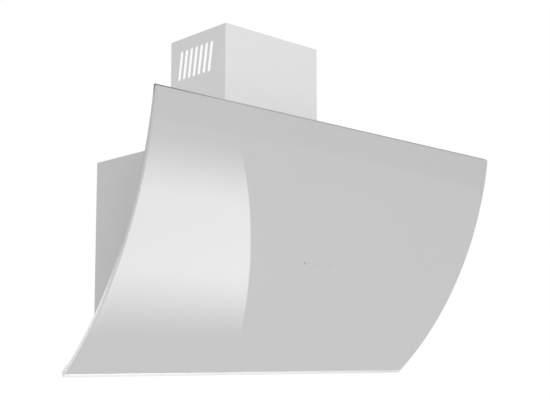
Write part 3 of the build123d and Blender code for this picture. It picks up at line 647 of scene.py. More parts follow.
def glass_finishes(glass):
    """The glass, its edge, its seal and what is printed on it. In every finish colours are
    linear, and scales are in lumps to the metre."""
    pane = Finish("glass_paint", glass.paint, roughness=0.55)
    pane.set(Specular_IOR_Level=0.0, Coat_Weight=1.0, Coat_Roughness=0.015, Coat_IOR=1.52)
    pane.tint(pane.noise(2.5, 2.0), 0.004).polish(pane.noise(40), 0.53, 0.57)

    edge = Finish("glass_edge", glass.edge, roughness=0.25)
    edge.set(Coat_Weight=1.0, Coat_Roughness=0.04, Coat_IOR=1.52)
    edge.tint(edge.noise(60, 3.0, (1, 6, 6)), 0.03)
    # Painted light: the polished edge grows lighter towards the bottom edge, for the bright background
    # seen in it.
    painted_light_height = 0.36
    edge.lighten("Z", GLASS_BOTTOM_Z + painted_light_height, GLASS_BOTTOM_Z, 0.95)
    edge.relief(edge.noise(900, 2.0), 0.01 * MM, 0.5)

    seal = Finish("seal_rubber", glass.seal, roughness=0.6)
    glass_top_z = GLASS_BOTTOM_Z + GLASS_HEIGHT
    corner_run, side_run, foot_high, foot_low = 0.15, 0.017, 0.21, 0.12
    seal.tint(seal.noise(300), 0.06)
    # Painted shade and light: the seal is darkest at the top left corner, lighter along the top and
    # down the sides, and near white at the foot.
    seal.lighten("X", -half_glass, -half_glass + corner_run, glass.seal_top_shade)
    seal.lighten("Z", glass_top_z, glass_top_z - side_run, glass.seal_side_shade)
    seal.lighten("Z", GLASS_BOTTOM_Z + foot_high, GLASS_BOTTOM_Z + foot_low, glass.seal_foot_light)
    seal.polish(seal.noise(500), 0.55, 0.68)
    seal.relief(seal.noise(2500, 2.0), 0.02 * MM, 0.5)

    ink = Finish("printed_ink", grey(0.38), roughness=0.4)
    ink.set(Coat_Weight=1.0, Coat_Roughness=0.02)
    ink.tint(ink.noise(800), 0.05)

    sensor = Finish("sensor_window", grey(0.30), roughness=0.25)
    sensor.set(Coat_Weight=1.0, Coat_Roughness=0.02)
    sensor.tint(sensor.noise(600), 0.08)


def sheet_finishes(sheets):
    """The two powder coats, and the bare sheets and brackets."""
    # The body coat is a darker copy of the chimney's coat: painted shade.
    for name, colour in (("powder_coat", sheets.paint), ("shaded_body_coat", sheets.body_shaded_paint)):
        coat = Finish(name, colour, roughness=0.42)
        coat.tint(coat.noise(9, 2.0), 0.008).polish(coat.noise(220), 0.38, 0.46)
        coat.relief(coat.noise(620, 1.5), 0.02 * MM, 0.55)
        if name == "powder_coat":
            # Painted light: the chimney's coat grows lighter from its top down to the body, for light
            # that comes up from below.
            painted_light_height = 0.163
            coat.lighten("Z", CHIMNEY_TOP_Z, CHIMNEY_TOP_Z - painted_light_height, sheets.painted_light_at_foot)

    zinc = Finish("galvanised_sheet", grey(0.52), metallic=0.85, roughness=0.42)
    zinc.tint(zinc.cells(150), 0.045).polish(zinc.noise(140), 0.34, 0.5)
    zinc.relief(zinc.noise(1500), 0.01 * MM, 0.5)

    plated = Finish("plated_steel", grey(0.50), metallic=0.95, roughness=0.32)
    plated.tint(plated.noise(90), 0.05).polish(plated.noise(400, 4.0, (1, 1, 4)), 0.26, 0.38)
    plated.relief(plated.noise(1800), 0.008 * MM, 0.4)


def metal_finishes():
    """Fasteners, the rail, the filters, and the lamps' and motor's metal."""
    bright = Finish("bright_zinc", (0.62, 0.63, 0.65), metallic=1.0, roughness=0.22)
    bright.tint(bright.noise(500), 0.05).polish(bright.noise(900), 0.18, 0.28)

    rail = Finish("brushed_rail", (0.76, 0.765, 0.77), metallic=0.2, roughness=0.36)
    rail.tint(rail.noise(160, 4.0, (0.02, 6, 6)), 0.03)
    # Painted light: the rail's left end face is lightened, so that it looks bright where it lies in
    # shade.
    rail.lighten("X", -half_glass + 0.5 * MM, -half_glass, 0.95)
    rail.polish(rail.noise(200, 4.0, (0.02, 8, 8)), 0.30, 0.44).set(Anisotropic=0.4)

    anodised = Finish("anodised_frame", (0.70, 0.71, 0.72), metallic=1.0, roughness=0.34)
    anodised.tint(anodised.noise(120, 3.0, (0.2, 1, 1)), 0.03)
    anodised.polish(anodised.noise(500), 0.30, 0.40)

    mesh = Finish("filter_wire", (0.66, 0.67, 0.68), metallic=1.0, roughness=0.36)
    mesh.tint(mesh.noise(260), 0.10).polish(mesh.noise(400), 0.30, 0.46)

    cast = Finish("cast_aluminium", grey(0.42), metallic=0.9, roughness=0.5)
    cast.tint(cast.noise(240), 0.06).relief(cast.noise(1600), 0.05 * MM, 0.6)

    trim = Finish("satin_chrome", (0.66, 0.66, 0.67), metallic=1.0, roughness=0.2)
    trim.tint(trim.noise(200), 0.02).polish(trim.noise(600), 0.16, 0.26)

    stator = Finish("stator_sheets", grey(0.20), metallic=0.7, roughness=0.45)
    stator.tint(stator.noise(60, 2.0, (1, 30, 1)), 0.2)
    stator.relief(stator.noise(400, 1.0, (0, 1, 0)), 0.1 * MM, 0.8)


def plastic_finishes():
    """The lamp's lens, the plastics, the boards and the rubber."""
    lens = Finish("frosted_lens", (0.90, 0.91, 0.90), roughness=0.35)
    lens.set(Transmission_Weight=0.25, IOR=1.49, Subsurface_Weight=0.2, Subsurface_Scale=2 * MM)
    lens.tint(lens.noise(300), 0.02).relief(lens.noise(3000, 2.0), 0.03 * MM, 0.6)

    black = Finish("black_plastic", grey(0.018), roughness=0.5)
    black.tint(black.noise(400), 0.12).polish(black.noise(700), 0.44, 0.58)
    black.relief(black.cells(2200, "SMOOTH_F1"), 0.03 * MM, 0.5)

    white = Finish("white_plastic", (0.74, 0.74, 0.72), roughness=0.42)
    white.tint(white.noise(200), 0.02).relief(white.noise(1500), 0.015 * MM, 0.4)

    board = Finish("solder_mask", (0.015, 0.12, 0.05), roughness=0.3)
    board.tint(board.cells(260), 0.25).relief(board.noise(900), 0.02 * MM, 0.5)

    rubber = Finish("black_rubber", grey(0.03), roughness=0.75)
    rubber.tint(rubber.noise(300), 0.1).relief(rubber.noise(2000), 0.02 * MM, 0.6)


FINISH_OF_SLOT = {
    "white_glass": "glass_paint",
    "painted_steel": "powder_coat",
    "galvanised_steel": "galvanised_sheet",
    "motor_steel": "stator_sheets",
    "bright_steel": "bright_zinc",
    "hinge_steel": "plated_steel",
    "flap_aluminium": "anodised_frame",
    "filter_aluminium": "anodised_frame",
    "filter_mesh": "filter_wire",
    "rail_aluminium": "brushed_rail",
    "cast_aluminium": "cast_aluminium",
    "lamp_trim": "satin_chrome",
    "lamp_lens": "frosted_lens",
    "black_plastic": "black_plastic",
    "white_plastic": "white_plastic",
    "circuit_board": "solder_mask",
    "rubber": "black_rubber",
    "seal_rubber": "seal_rubber",
}


# ================================================================== the glass panel
class HOOD_OT_glass_pane(bpy.types.Operator):
    """The curved pane: one slab between two arcs, its edges ground to a quarter round"""

    bl_idname = "hood.glass_pane"
    bl_label = "Glass pane"

    def execute(self, context):
        arris = context.scene.hood_glass.arris
        back_arris = arris / 2
        even_x, even_s, columns, rows = 0.02, 0.01, 7, 73
        edge_steps = arris * (1 - np.cos(np.linspace(0, pi / 2, 5)))
        side = np.concatenate([edge_steps, np.linspace(even_x, half_glass, columns)[:-1]])
        across = np.concatenate([side - half_glass, [0.0], (half_glass - side)[::-1]])
        run = np.linspace(even_s, glass_length - even_s, rows)
        along = np.concatenate([edge_steps, run, (glass_length - edge_steps)[::-1]])
        grid_x, grid_s = np.meshgrid(across, along, indexing="ij")
        border = np.minimum(half_glass - np.abs(grid_x), np.minimum(grid_s, glass_length - grid_s))

        def worn(radius):
            """Depth below the face: radius - sqrt(radius^2 - (radius - border)^2) near the border."""
            near = np.clip(radius - border, 0, radius)
            return radius - np.sqrt(radius**2 - near**2)

        front = on_glass(grid_x, grid_s, worn(arris))
        back = on_glass(grid_x, grid_s, GLASS_THICKNESS - worn(back_arris))
        skin = Skin()
        skin.grid(front)
        skin.grid(back)
        for end in (0, -1):
            skin.grid(np.stack([front[end], back[end]]), mark=1)
        for end in (0, -1):
            skin.grid(np.stack([front[:, end], back[:, end]]), mark=1)
        mesh = skin.mesh("glass_pane")
        add_piece("glass_pane", mesh, ["glass_paint", "glass_edge"], "glass_panel", ["front_glass"])
        return {"FINISHED"}


def edge_loop(inset):
    """Closed loop round the glass in (across, along), moved inwards by inset. It is the rounded
    rectangle's outline with its long sides divided, so that it follows the curve."""
    corner, steps, side_points = 2.0 * MM, 6, 40
    half = half_glass + GASKET_LIP
    top = -GASKET_TOP_LIP
    corners = [(-half, top), (half, top), (half, glass_length), (-half, glass_length)]
    loop = outline(corners, corner, inset, steps)
    share = np.linspace(0, 1, side_points)[1:-1, None]
    pieces = []
    for first in range(0, len(loop), steps):
        pieces.append(loop[first : first + steps])
        ahead = loop[(first + steps) % len(loop)]
        pieces.append(loop[first + steps - 1] * (1 - share) + ahead * share)
    return np.concatenate(pieces)


class HOOD_OT_edge_seal(bpy.types.Operator):
    """The rubber seal: a flat section with a rounded lip, carried round the back of the glass"""

    bl_idname = "hood.edge_seal"
    bl_label = "Edge seal"

    def execute(self, context):
        band = 14.0 * MM
        lip = GASKET_THICKNESS / 2
        clearance = 0.02 * MM
        start = GLASS_THICKNESS + clearance
        stop = GLASS_THICKNESS + GASKET_THICKNESS - clearance
        nose = np.linspace(-pi / 2, pi / 2, 7)
        section = [(lip * (1 - cos(a)), start + lip + lip * sin(a)) for a in nose]
        section += [(band, stop), (band, start)]
        rows = []
        for inset, depth in section:
            loop = edge_loop(inset)
            rows.append(on_glass(loop[:, 0], loop[:, 1], depth))
        skin = Skin().grid(np.array(rows), around=True, along=True)
        add_piece("edge_seal", skin.mesh("edge_seal"), ["seal_rubber"], "glass_panel", ["edge_gasket"])
        return {"FINISHED"}


class HOOD_OT_bottom_trim(bpy.types.Operator):
    """The aluminium rail under the glass: a J section with rounded edges, drawn along the wall"""

    bl_idname = "hood.bottom_trim"
    bl_label = "Bottom rail"

    def execute(self, context):
        drop = 8.5 * MM
        leg = 14.0 * MM
        leg_thickness = 1.5 * MM
        edge = 0.8 * MM
        depth_back = GLASS_THICKNESS + GASKET_THICKNESS + TRAY_THICKNESS + leg_thickness
        depth_leg = depth_back - leg_thickness
        section = rounded([
            ((0.0, 0.0), edge), ((drop, 0.0), edge), ((drop, depth_back), edge),
            ((-leg, depth_back), edge / 2), ((-leg, depth_leg), edge / 2), ((0.0, depth_leg), 0.0),
        ])
        skin = drawn(Skin(), section, -half_glass, half_glass,
                     lambda a, b, x: on_glass(x, glass_length + a, b))
        add_piece("bottom_trim", skin.mesh("bottom_trim"), ["brushed_rail"], "glass_panel",
                  ["bottom_rail"])
        return {"FINISHED"}


class HOOD_OT_touch_keys(bpy.types.Operator):
    """The printed keys: a sensor dot and thin line symbols, a hair proud of the glass"""

    bl_idname = "hood.touch_keys"
    bl_label = "Touch keys"

    def execute(self, context):
        line = 0.7 * MM
        low, high = -0.04 * MM, 0.05 * MM
        middle = along_at(TOUCH_RISE)

        def place(x, y, height):
            """x along the wall, y upwards on the glass from the keys' line, height proud of it."""
            return on_glass(x, middle - y, -height)

        dot = Skin()
        sensor_x, sensor_r = -36.2 * MM, 3.1 * MM
        lathe(dot, [(sensor_r, low), (sensor_r, high * 0.6), (sensor_r * 0.96, high), (0, high)],
              lambda a, b, c: place(a + sensor_x, b, c), sides=32)
        add_piece("sensor_dot", dot.mesh("sensor_dot"), ["sensor_window"], "glass_panel",
                  slot="black_plastic")

        keys = Skin()
        pitch, first, size = 16.0 * MM, -12.0 * MM, 4.2 * MM

        def draw(key, path, closed=False):
            """Draws a line of a key's symbol; its points are in shares of the symbol's size."""
            path = np.array(path, float) * size
            path[:, 0] += first + key * pitch
            ribbon(keys, path, line, place, low, high, closed=closed)

        minus, plus, lamp, clock = range(4)
        for key in (minus, plus):
            draw(key, [(-1, 0), (-0.3, 0), (0.3, 0), (1, 0)])
        draw(plus, [(0, -1), (0, -0.3), (0, 0.3), (0, 1)])
        bulb = np.linspace(-0.28 * pi, 1.28 * pi, 20)
        draw(lamp, np.stack([0.72 * np.cos(bulb), 0.3 + 0.72 * np.sin(bulb)], 1))
        draw(lamp, [(-0.42, -0.62), (0, -0.62), (0.42, -0.62)])
        draw(lamp, [(-0.3, -0.95), (0, -0.95), (0.3, -0.95)])
        turn = np.linspace(0, tau, 28, endpoint=False)
        draw(clock, np.stack([np.cos(turn), np.sin(turn)], 1), closed=True)
        draw(clock, [(0, 0.62), (0, 0.3), (0, 0)])
        draw(clock, [(0, 0), (0.25, -0.12), (0.5, -0.24)])
        add_piece("key_symbols", keys.mesh("key_symbols"), ["printed_ink"], "glass_panel",
                  slot="black_plastic")
        return {"FINISHED"}


# ================================================================== the panel's carrier
HINGE_X = 0.200
hinge_place = joint_place["glass_panel_hinge"]
CATCH_X = 0.262
CATCH_UP = -0.372
CATCH_LENGTH = 48.579 * MM  # from the fascia to the buffer's foot
# Pan-head screws by what they hold: head radius, head height and shank radius.
SHEET_SCREW = mm((3.2, 2.0, 1.6))
CATCH_SCREW = mm((2.6, 1.5, 1.2))
MOTOR_SCREW = mm((2.6, 1.5, 1.3))
LID_SCREW = mm((2.8, 1.7, 1.3))
TERMINAL_SCREW = mm((2.9, 2.2, 1.5))


class HOOD_OT_hinges(bpy.types.Operator):
    """Hinge pins with flat heads, and the eight pan-head screws of the hinge brackets"""

    bl_idname = "hood.hinges"
    bl_label = "Hinge pins and screws"

    def execute(self, context):
        pins = Skin()
        profile = mm([
            (0, -29), (3.3, -29), (4, -28.3), (4, 28.2), (5.6, 28.2), (6, 28.5), (6, 29.6),
            (5.4, 30.2), (1.2, 30.2), (0, 29.6),
        ])
        for side in (-1, 1):
            first, second = ((0, 1, 0), (0, 0, 1)) if side > 0 else ((0, 0, 1), (0, 1, 0))
            place = on_plane((side * HINGE_X, *hinge_place[1:]), first, second)
            lathe(pins, profile, place, 32)
        add_piece("hinge_pin_pair", pins.mesh("hinge_pin_pair"), ["bright_zinc"], "glass_panel",
                  ["hinge_pins"])

        screws = Skin()
        face, screw_x, screw_ups = 3.0 * MM, 22.0 * MM, (-16.0 * MM, -40.0 * MM)
        for side in (-1, 1):
            for x in (side * HINGE_X - screw_x, side * HINGE_X + screw_x):
                for up in screw_ups:
                    screw(screws, lambda a, b, c: on_fascia(x + a, up + b, face + c),
                          *SHEET_SCREW, shank=face)
        add_piece("hinge_screw_set", screws.mesh("hinge_screw_set"), ["bright_zinc"], "hood_body",
                  ["hinge_screws"])
        return {"FINISHED"}


class HOOD_OT_catches(bpy.types.Operator):
    """Two catches with a screwed foot and a ribbed post, each with a domed rubber buffer"""

    bl_idname = "hood.catches"
    bl_label = "Catches"

    def execute(self, context):
        buffers = Skin()
        foot, foot_high, foot_screw_x = mm(rectangle(34, 24)), 2.5 * MM, 13.0 * MM
        post, post_foot = mm(rectangle(18, 18)), 4.0
        first_groove, groove_pitch = 9.0, 8.0
        dome = mm([
            (0, 0), (8, 0), (8, 1.0), (7.6, 1.6), (6.8, 1.9), (5.6, 2.0), (4.6, 1.7), (3.6, 1.7),
            (2.6, 2.0), (0, 2.0),
        ])
        for side, name in ((-1, "left"), (1, "right")):
            def place(a, b, c):
                return on_fascia(side * CATCH_X + a, CATCH_UP + b, c)

            catch = Skin()
            plate(catch, foot, 4 * MM, mm([(0, 0), (0, 1.7), (0.3, 2.3), (0.8, 2.5)]), place)
            sides = [(0, 2.4), (0, post_foot)]
            for groove in range(5):
                start = first_groove + groove_pitch * groove
                sides += [(0, start), (0.5, start + 0.5), (0.5, start + 1.5), (0, start + 2)]
            end = [(inset, CATCH_LENGTH - drop) for inset, drop in quarter(0.8 * MM, 3)]
            plate(catch, post, 3 * MM, np.concatenate([mm(sides), end]), place, steps=4)
            for across in (-foot_screw_x, foot_screw_x):
                screw(catch, lambda a, b, c: place(across + a, b, foot_high + c),
                      *CATCH_SCREW, shank=2.0 * MM, mark=1)
            add_piece(f"catch_{name}_post", catch.mesh("catch_post"), ["black_plastic", "bright_zinc"],
                      "hood_body", [f"catch_{name}"])
            lathe(buffers, dome, lambda a, b, c: place(a, b, CATCH_LENGTH + c), 40)
        add_piece("buffer_pair", buffers.mesh("buffer_pair"), ["black_rubber"], "hood_body",
                  ["catch_buffers"])
        return {"FINISHED"}


# ================================================================== the grease filters
FILTER_X = joint_place["right_filter_tilt"][0]
FILTER_WIDTH = 0.246
FILTER_HEIGHT = 0.286
FILTER_UP = -0.200
LATCH_UP = -0.334


class HOOD_OT_filter_frames(bpy.types.Operator):
    """Filter frames: a C section with rolled edges, mitred at the corners and riveted there,
    with two J-shaped guides for the latch"""

    bl_idname = "hood.filter_frames"
    bl_label = "Filter frames"

    def execute(self, context):
        channel = rounded([
            (mm((0, -9)), 1.2 * MM), (mm((13, -9)), 0.6 * MM), (mm((13, -7.4)), 0.6 * MM),
            (mm((1.4, -7.4)), 0.0), (mm((1.4, -1.6)), 0.0), (mm((13, -1.6)), 0.6 * MM),
            (mm((13, 0)), 0.6 * MM), (mm((0, 0)), 1.2 * MM),
        ])
        rivet = mm([(0, -0.3), (2.0, -0.3), (2.0, 0.1), (1.7, 0.5), (1.0, 0.75), (0, 0.85)])
        rivet_x, rivet_up = FILTER_WIDTH / 2 - 6.5 * MM, FILTER_HEIGHT / 2 - 11.0 * MM
        guide_low, guide_high = LATCH_UP - 6.0 * MM, LATCH_UP + 10.0 * MM
        for side, name in ((-1, "left"), (1, "right")):
            centre = (side * FILTER_X, FILTER_UP)
            frame_skin = Skin()
            frame_bars(frame_skin, FILTER_WIDTH, FILTER_HEIGHT, centre, channel, on_fascia)
            for x in (-1, 1):
                for up in (-1, 1):
                    middle_x, middle_up = centre[0] + x * rivet_x, centre[1] + up * rivet_up
                    lathe(frame_skin, rivet,
                          lambda a, b, c: on_fascia(middle_x + a, middle_up + b, c), 20)
            for x in (-1, 1):
                guide = rounded([
                    (mm((23, -0.2)), 0.0), (mm((23, 4.5)), 0.5 * MM), (mm((18, 4.5)), 0.3 * MM),
                    (mm((18, 3.65)), 0.0), (mm((20, 3.65)), 0.0), (mm((20, -0.2)), 0.0),
                ]) * (x, 1)
                drawn(frame_skin, guide, guide_low, guide_high,
                      lambda a, b, up: on_fascia(centre[0] + a, up, b))
            add_piece(f"filter_{name}_frame", frame_skin.mesh("filter_frame_bars"),
                      ["anodised_frame"], f"{name}_filter", [f"filter_frame_{name}"])
        return {"FINISHED"}


class HOOD_OT_filter_meshes(bpy.types.Operator):
    """Filter meshes: layers of expanded aluminium. Neighbouring strands swing in antiphase,
    x = s (column + 1/2) + (-1)^(column + k) 0.46 s, and touch where they meet, so they leave
    diamonds; the strands are flat strips, tilted by their own layer's angle"""

    bl_idname = "hood.filter_meshes"
    bl_label = "Filter meshes"

    def execute(self, context):
        settings = context.scene.hood_filters
        width, height = FILTER_WIDTH - 12.0 * MM, FILTER_HEIGHT - 12.0 * MM
        step = settings.pitch / 2
        diamond_length = settings.pitch * 1.6
        strand_swing = step / 2 * 0.92
        top_layer, layer_pitch, layer_shift = -2.75 * MM, 1.75 * MM, step * 0.37
        layer_tilts = (38, -35, 42)
        columns = int(width / step)
        periods = int(height / diamond_length)
        phase = (np.arange(periods)[:, None] + np.array([0.12, 0.38, 0.62, 0.88])).ravel()
        swing = np.tile([1.0, -1.0, -1.0, 1.0], periods)
        along = (phase / periods - 0.5) * height
        strip = mm([(-0.42, -0.16), (0.42, -0.16), (0.42, 0.16), (-0.42, 0.16)])
        for side, name in ((-1, "left"), (1, "right")):
            skin = Skin()
            for layer in range(settings.layers):
                tilt = radians(layer_tilts[layer % 3])
                turned = strip @ np.array([[cos(tilt), sin(tilt)], [-sin(tilt), cos(tilt)]])
                depth = top_layer - layer_pitch * layer
                offset = (layer % 3) * layer_shift
                for column in range(columns):
                    sign = 1 if column % 2 else -1
                    x = (column + 0.5) * step - width / 2 + sign * swing * strand_swing
                    x = np.clip(x + offset, -width / 2, width / 2)
                    surface = on_fascia(
                        side * FILTER_X + x[:, None] + turned[None, :, 0],
                        FILTER_UP + along[:, None],
                        depth + turned[None, :, 1],
                    )
                    skin.tube(surface)
            add_piece(f"filter_{name}_mesh", skin.mesh("filter_mesh_layers", 20),
                      ["filter_wire"], f"{name}_filter", [f"filter_mesh_{name}"])
        return {"FINISHED"}


class HOOD_OT_filter_latches(bpy.types.Operator):
    """Filter latches: a slide with a ribbed thumb grip and a tapered nose"""

    bl_idname = "hood.filter_latches"
    bl_label = "Filter latches"

    def execute(self, context):
        for side, name in ((-1, "left"), (1, "right")):
            def place(a, b, c):
                return on_fascia(side * FILTER_X + a, LATCH_UP + b, 0.3 * MM + c)

            skin = Skin()
            plate(skin, mm(rectangle(39, 11)), 0.8 * MM, mm([(0.3, 0), (0, 0.3), (0, 2.6), (0.4, 3)]),
                  place, steps=3)
            grip_inset, grip_top = 0.2 * MM, 6.2 * MM
            grip = [(0, 2.8 * MM), (grip_inset, 5.2 * MM)]
            grip += [(grip_inset + inset, grip_top - drop) for inset, drop in quarter(0.8 * MM, 4)]
            plate(skin, mm(rectangle(24, 11)), 2 * MM, grip, place)
            first_rib, rib_pitch = -3.45, 2.3
            for rib in range(4):
                line = mm(rectangle(19, 1.1, (0, first_rib + rib_pitch * rib)))
                plate(skin, line, 0.5 * MM, mm([(0, 6.0), (0.05, 6.6), (0.35, 7.0)]), place, steps=3)
            nose = rounded([
                (mm((-2, 0)), 0.0), (mm((-10.3, 0)), 0.5 * MM), (mm((-10.3, 1.1)), 0.4 * MM),
                (mm((-7.5, 2)), 0.4 * MM), (mm((-2, 2)), 0.0),
            ])
            drawn(skin, nose, -7 * MM, 7 * MM, lambda up, out, x: place(x, up, out))
            add_piece(f"filter_{name}_latch", skin.mesh("latch_slide"), ["black_plastic"],
                      f"{name}_latch", [f"filter_latch_{name}"])
        return {"FINISHED"}


# ================================================================== the lamps
LAMP_X, LAMP_Y = 0.170, -0.060


class HOOD_OT_lamps(bpy.types.Operator):
    """Two lamps: a satin bezel with a soft lip, a frosted lens with fine rings, a finned sink"""

    bl_idname = "hood.lamps"
    bl_label = "Lamps"

    def execute(self, context):
        bezel = mm([
            (24, -1.0), (24.5, -1.7), (25.4, -2), (30.2, -2), (31.2, -1.75), (31.85, -1.1), (32, -0.3),
            (32, 0), (27.9, 0), (27.9, 14), (24, 14),
        ])
        rings = [(0.0, -0.62)]
        for ring in range(1, 23):
            rings.append((float(ring), -0.62 + 0.12 * (ring % 2)))
        lens = mm(rings + [(23.4, -0.7), (23.8, -0.5), (23.95, -0.2), (23.95, 2.2), (0, 2.2)])
        sink = [(0, 14), (28, 14), (28, 17), (9, 17)]
        for fin in range(4):
            foot = 19 + 5 * fin
            sink += [(9, foot), (25.4, foot), (26, foot + 0.6), (26, foot + 1.4), (25.4, foot + 2)]
            sink += [(9, foot + 2)] if fin < 3 else [(0, foot + 2)]
        for side, name in ((-1, "left"), (1, "right")):
            place = on_plane((side * LAMP_X, LAMP_Y, body_bottom_z), (1, 0, 0), (0, 1, 0))
            for piece, profile, material, closed in (
                ("bezel", bezel, "satin_chrome", True),
                ("lens", lens, "frosted_lens", False),
                ("heatsink", mm(sink), "cast_aluminium", False),
            ):
                skin = lathe(Skin(), profile, place, 72, closed=closed)
                add_piece(f"lamp_{name}_{piece}", skin.mesh(f"lamp_{piece}", 25), [material],
                          "hood_body", [f"lamp_{piece}_{name}"])
        return {"FINISHED"}


# ================================================================== outlet and cable gland
duct_y = mount_place["duct_collar"][1]
gland_x, gland_y = mount_place["cable_entry"][:2]
# The collar's screws go through its flange and the top panel.
FLANGE = 2.0 * MM
PANEL = 1.2 * MM
SCREW_CIRCLE_R = 80.0 * MM


class HOOD_OT_outlet(bpy.types.Operator):
    """The collar's four screws and the pin that both flaps turn on"""

    bl_idname = "hood.outlet"
    bl_label = "Outlet screws and pin"

    def execute(self, context):
        screws = Skin()
        for quarter_turn in range(4):
            angle = pi / 4 + quarter_turn * pi / 2
            x, y = SCREW_CIRCLE_R * cos(angle), duct_y + SCREW_CIRCLE_R * sin(angle)
            place = on_plane((x, y, body_top_z + FLANGE), (1, 0, 0), (0, 1, 0))
            screw(screws, place, *SHEET_SCREW, shank=FLANGE + PANEL)
        add_piece("collar_screw_set", screws.mesh("collar_screw_set"), ["bright_zinc"], "hood_body",
                  ["collar_screws"])
        pin = lathe(
            Skin(),
            mm([(0, -74.3), (1.5, -74.3), (2, -73.8), (2, 73.8), (1.5, 74.3), (0, 74.3)]),
            on_plane(joint_place["front_flap_hinge"], (0, 1, 0), (0, 0, 1)), 24,
        )
        add_piece("flap_pin", pin.mesh("flap_pin"), ["bright_zinc"], "hood_body", ["damper_pin"])
        return {"FINISHED"}


class HOOD_OT_gland(bpy.types.Operator):
    """The cable gland: a hexagon, a thread below the panel, a ribbed cap and its rubber ring"""

    bl_idname = "hood.gland"
    bl_label = "Cable gland"

    def execute(self, context):
        place = on_plane((gland_x, gland_y, body_top_z), (1, 0, 0), (0, 1, 0))
        skin = Skin()
        hexagon = mm(circle(12.0, 6))
        plate(skin, hexagon, 0.6 * MM, mm([(0, 0.1), (0, 4.4), (0.7, 5)]), place, steps=3)
        barrel = [(4.1, -9, 0), (7.2, -9, 0)]
        for turn in range(6):
            barrel += [(8, -8.4 + 1.4 * turn, 0), (7.3, -7.7 + 1.4 * turn, 0)]
        barrel += [
            (7.3, 4.0, 0), (7.6, 5.6, 0), (8, 5.8, 0.45), (8, 12.4, 0.45), (7.7, 14.2, 0.3),
            (7.0, 16.0, 0.1), (6.0, 17.4, 0), (5.6, 17.8, 0), (5.2, 17.8, 0), (5.2, 16.6, 0),
            (4.1, 16.6, 0),
        ]
        lathe(skin, mm(barrel), place, 96, closed=True, ribs=16)
        ring = mm([(4.15, 15.2), (5.1, 15.2), (5.1, 17.3), (4.7, 17.7), (4.15, 17.2)])
        lathe(skin, ring, place, 48, mark=1, closed=True)
        add_piece("gland_body", skin.mesh("gland_body"), ["black_plastic", "black_rubber"],
                  "hood_body", ["cable_gland"])
        return {"FINISHED"}


# ================================================================== the blower
blower_place = joint_place["blower_spin"]
# Places about the blower's axis, with the third value out from the wall.
BLOWER = on_plane((blower_place[0], 0, blower_place[2]), (1, 0, 0), (0, 0, 1))
BLADES = 60


class HOOD_OT_blower_inlet(bpy.types.Operator):
    """The bellmouth, and the guard of four wire rings welded to six spokes"""

    bl_idname = "hood.blower_inlet"
    bl_label = "Blower inlet"

    def execute(self, context):
        bell = [(82, 149.2), (82, 150.2), (81.5, 150.7), (70, 150.7)]
        for turn in np.linspace(0, pi / 2, 8):
            bell.append((70 - 6.4 * sin(turn), 143 + 7.7 * cos(turn)))
        bell += [(65.5, 143), (65.5, 149.2)]
        skin = lathe(Skin(), mm(bell), BLOWER, 96, closed=True)
        add_piece("inlet_bell", skin.mesh("inlet_bell", 40), ["black_plastic"], "hood_body",
                  ["inlet_ring"])

        guard = Skin()
        round_wire = circle(1.15, 8)
        ring_out, spoke_out, spoke_reach = 151.95, 151.6, 70.6
        for ring_r in (70, 50, 34, 18):
            lathe(guard, mm(round_wire + (ring_r, ring_out)), BLOWER, 72, closed=True)
        for spoke in range(3):
            angle = spoke * pi / 3
            x, z = spoke_reach * cos(angle), spoke_reach * sin(angle)
            bar(guard, mm((-x, -z, spoke_out)), mm((x, z, spoke_out)), 1.0 * MM, BLOWER)
        add_piece("inlet_wires", guard.mesh("inlet_wires", 60), ["black_plastic"], "hood_body",
                  ["inlet_guard"])
        return {"FINISHED"}


class HOOD_OT_blower_wheel(bpy.types.Operator):
    """The wheel: sixty forward-curved blades between two rims, a disc and a hub. A blade's middle
    line runs from r = 70 to 83 mm, and its offset along the wheel is 9 (t - 1/2) + 5.6 t (1 - t)"""

    bl_idname = "hood.blower_wheel"
    bl_label = "Blower wheel"

    def execute(self, context):
        inner_r, outer_r, lean_along, camber, half_thickness = 70.0, 83.0, 9.0, 5.6, 0.6
        blade_ends = (41.0 * MM, 138.0 * MM)
        skin = Skin()
        share = np.linspace(0, 1, 6)
        radial = inner_r + (outer_r - inner_r) * share
        sideways = lean_along * (share - 0.5) + camber * share * (1 - share)
        slope = np.stack([np.gradient(radial), np.gradient(sideways)], 1)
        slope /= np.linalg.norm(slope, axis=1)[:, None]
        half = half_thickness * (1 - 0.5 * (2 * share - 1) ** 4)
        middle = np.stack([radial, sideways], 1)
        across = np.stack([-slope[:, 1], slope[:, 0]], 1) * half[:, None]
        loop = mm(np.concatenate([middle + across, (middle - across)[::-1]]))
        for blade in range(BLADES):
            angle = blade * tau / BLADES
            x = loop[:, 0] * cos(angle) - loop[:, 1] * sin(angle)
            y = loop[:, 0] * sin(angle) + loop[:, 1] * cos(angle)
            skin.tube(np.array([BLOWER(x, y, out) for out in blade_ends]))
        for low, high in ((40.0, 42.5), (136.5, 139.0)):
            corners = ((69, low), (84, low), (84, high), (69, high))
            rim = rounded([(mm(corner), 0.6 * MM) for corner in corners])
            lathe(skin, rim, BLOWER, 96, closed=True)
        hub = mm([
            (4.1, 96), (12, 96), (13, 97), (13, 103), (14.5, 104), (40, 104), (42, 104.6), (60, 104.6),
            (62, 104), (82, 104), (82, 106.5), (63, 106.5), (61, 107.1), (43, 107.1), (41, 106.5),
            (15, 106.5), (13, 108), (13, 113), (12, 114), (4.1, 114),
        ])
        lathe(skin, hub, BLOWER, 96, closed=True)
        add_piece("blower_wheel_vanes", skin.mesh("blower_wheel_vanes", 32), ["black_plastic"],
                  "blower_wheel", ["impeller"])
        shaft = mm([(0, 62), (3.5, 62), (4, 62.5), (4, 125.2), (3.2, 126), (0, 126)])
        shaft_skin = lathe(Skin(), shaft, BLOWER, 32)
        add_piece("blower_shaft", shaft_skin.mesh("blower_shaft"), ["bright_zinc"], "blower_wheel",
                  ["motor_shaft"])
        return {"FINISHED"}


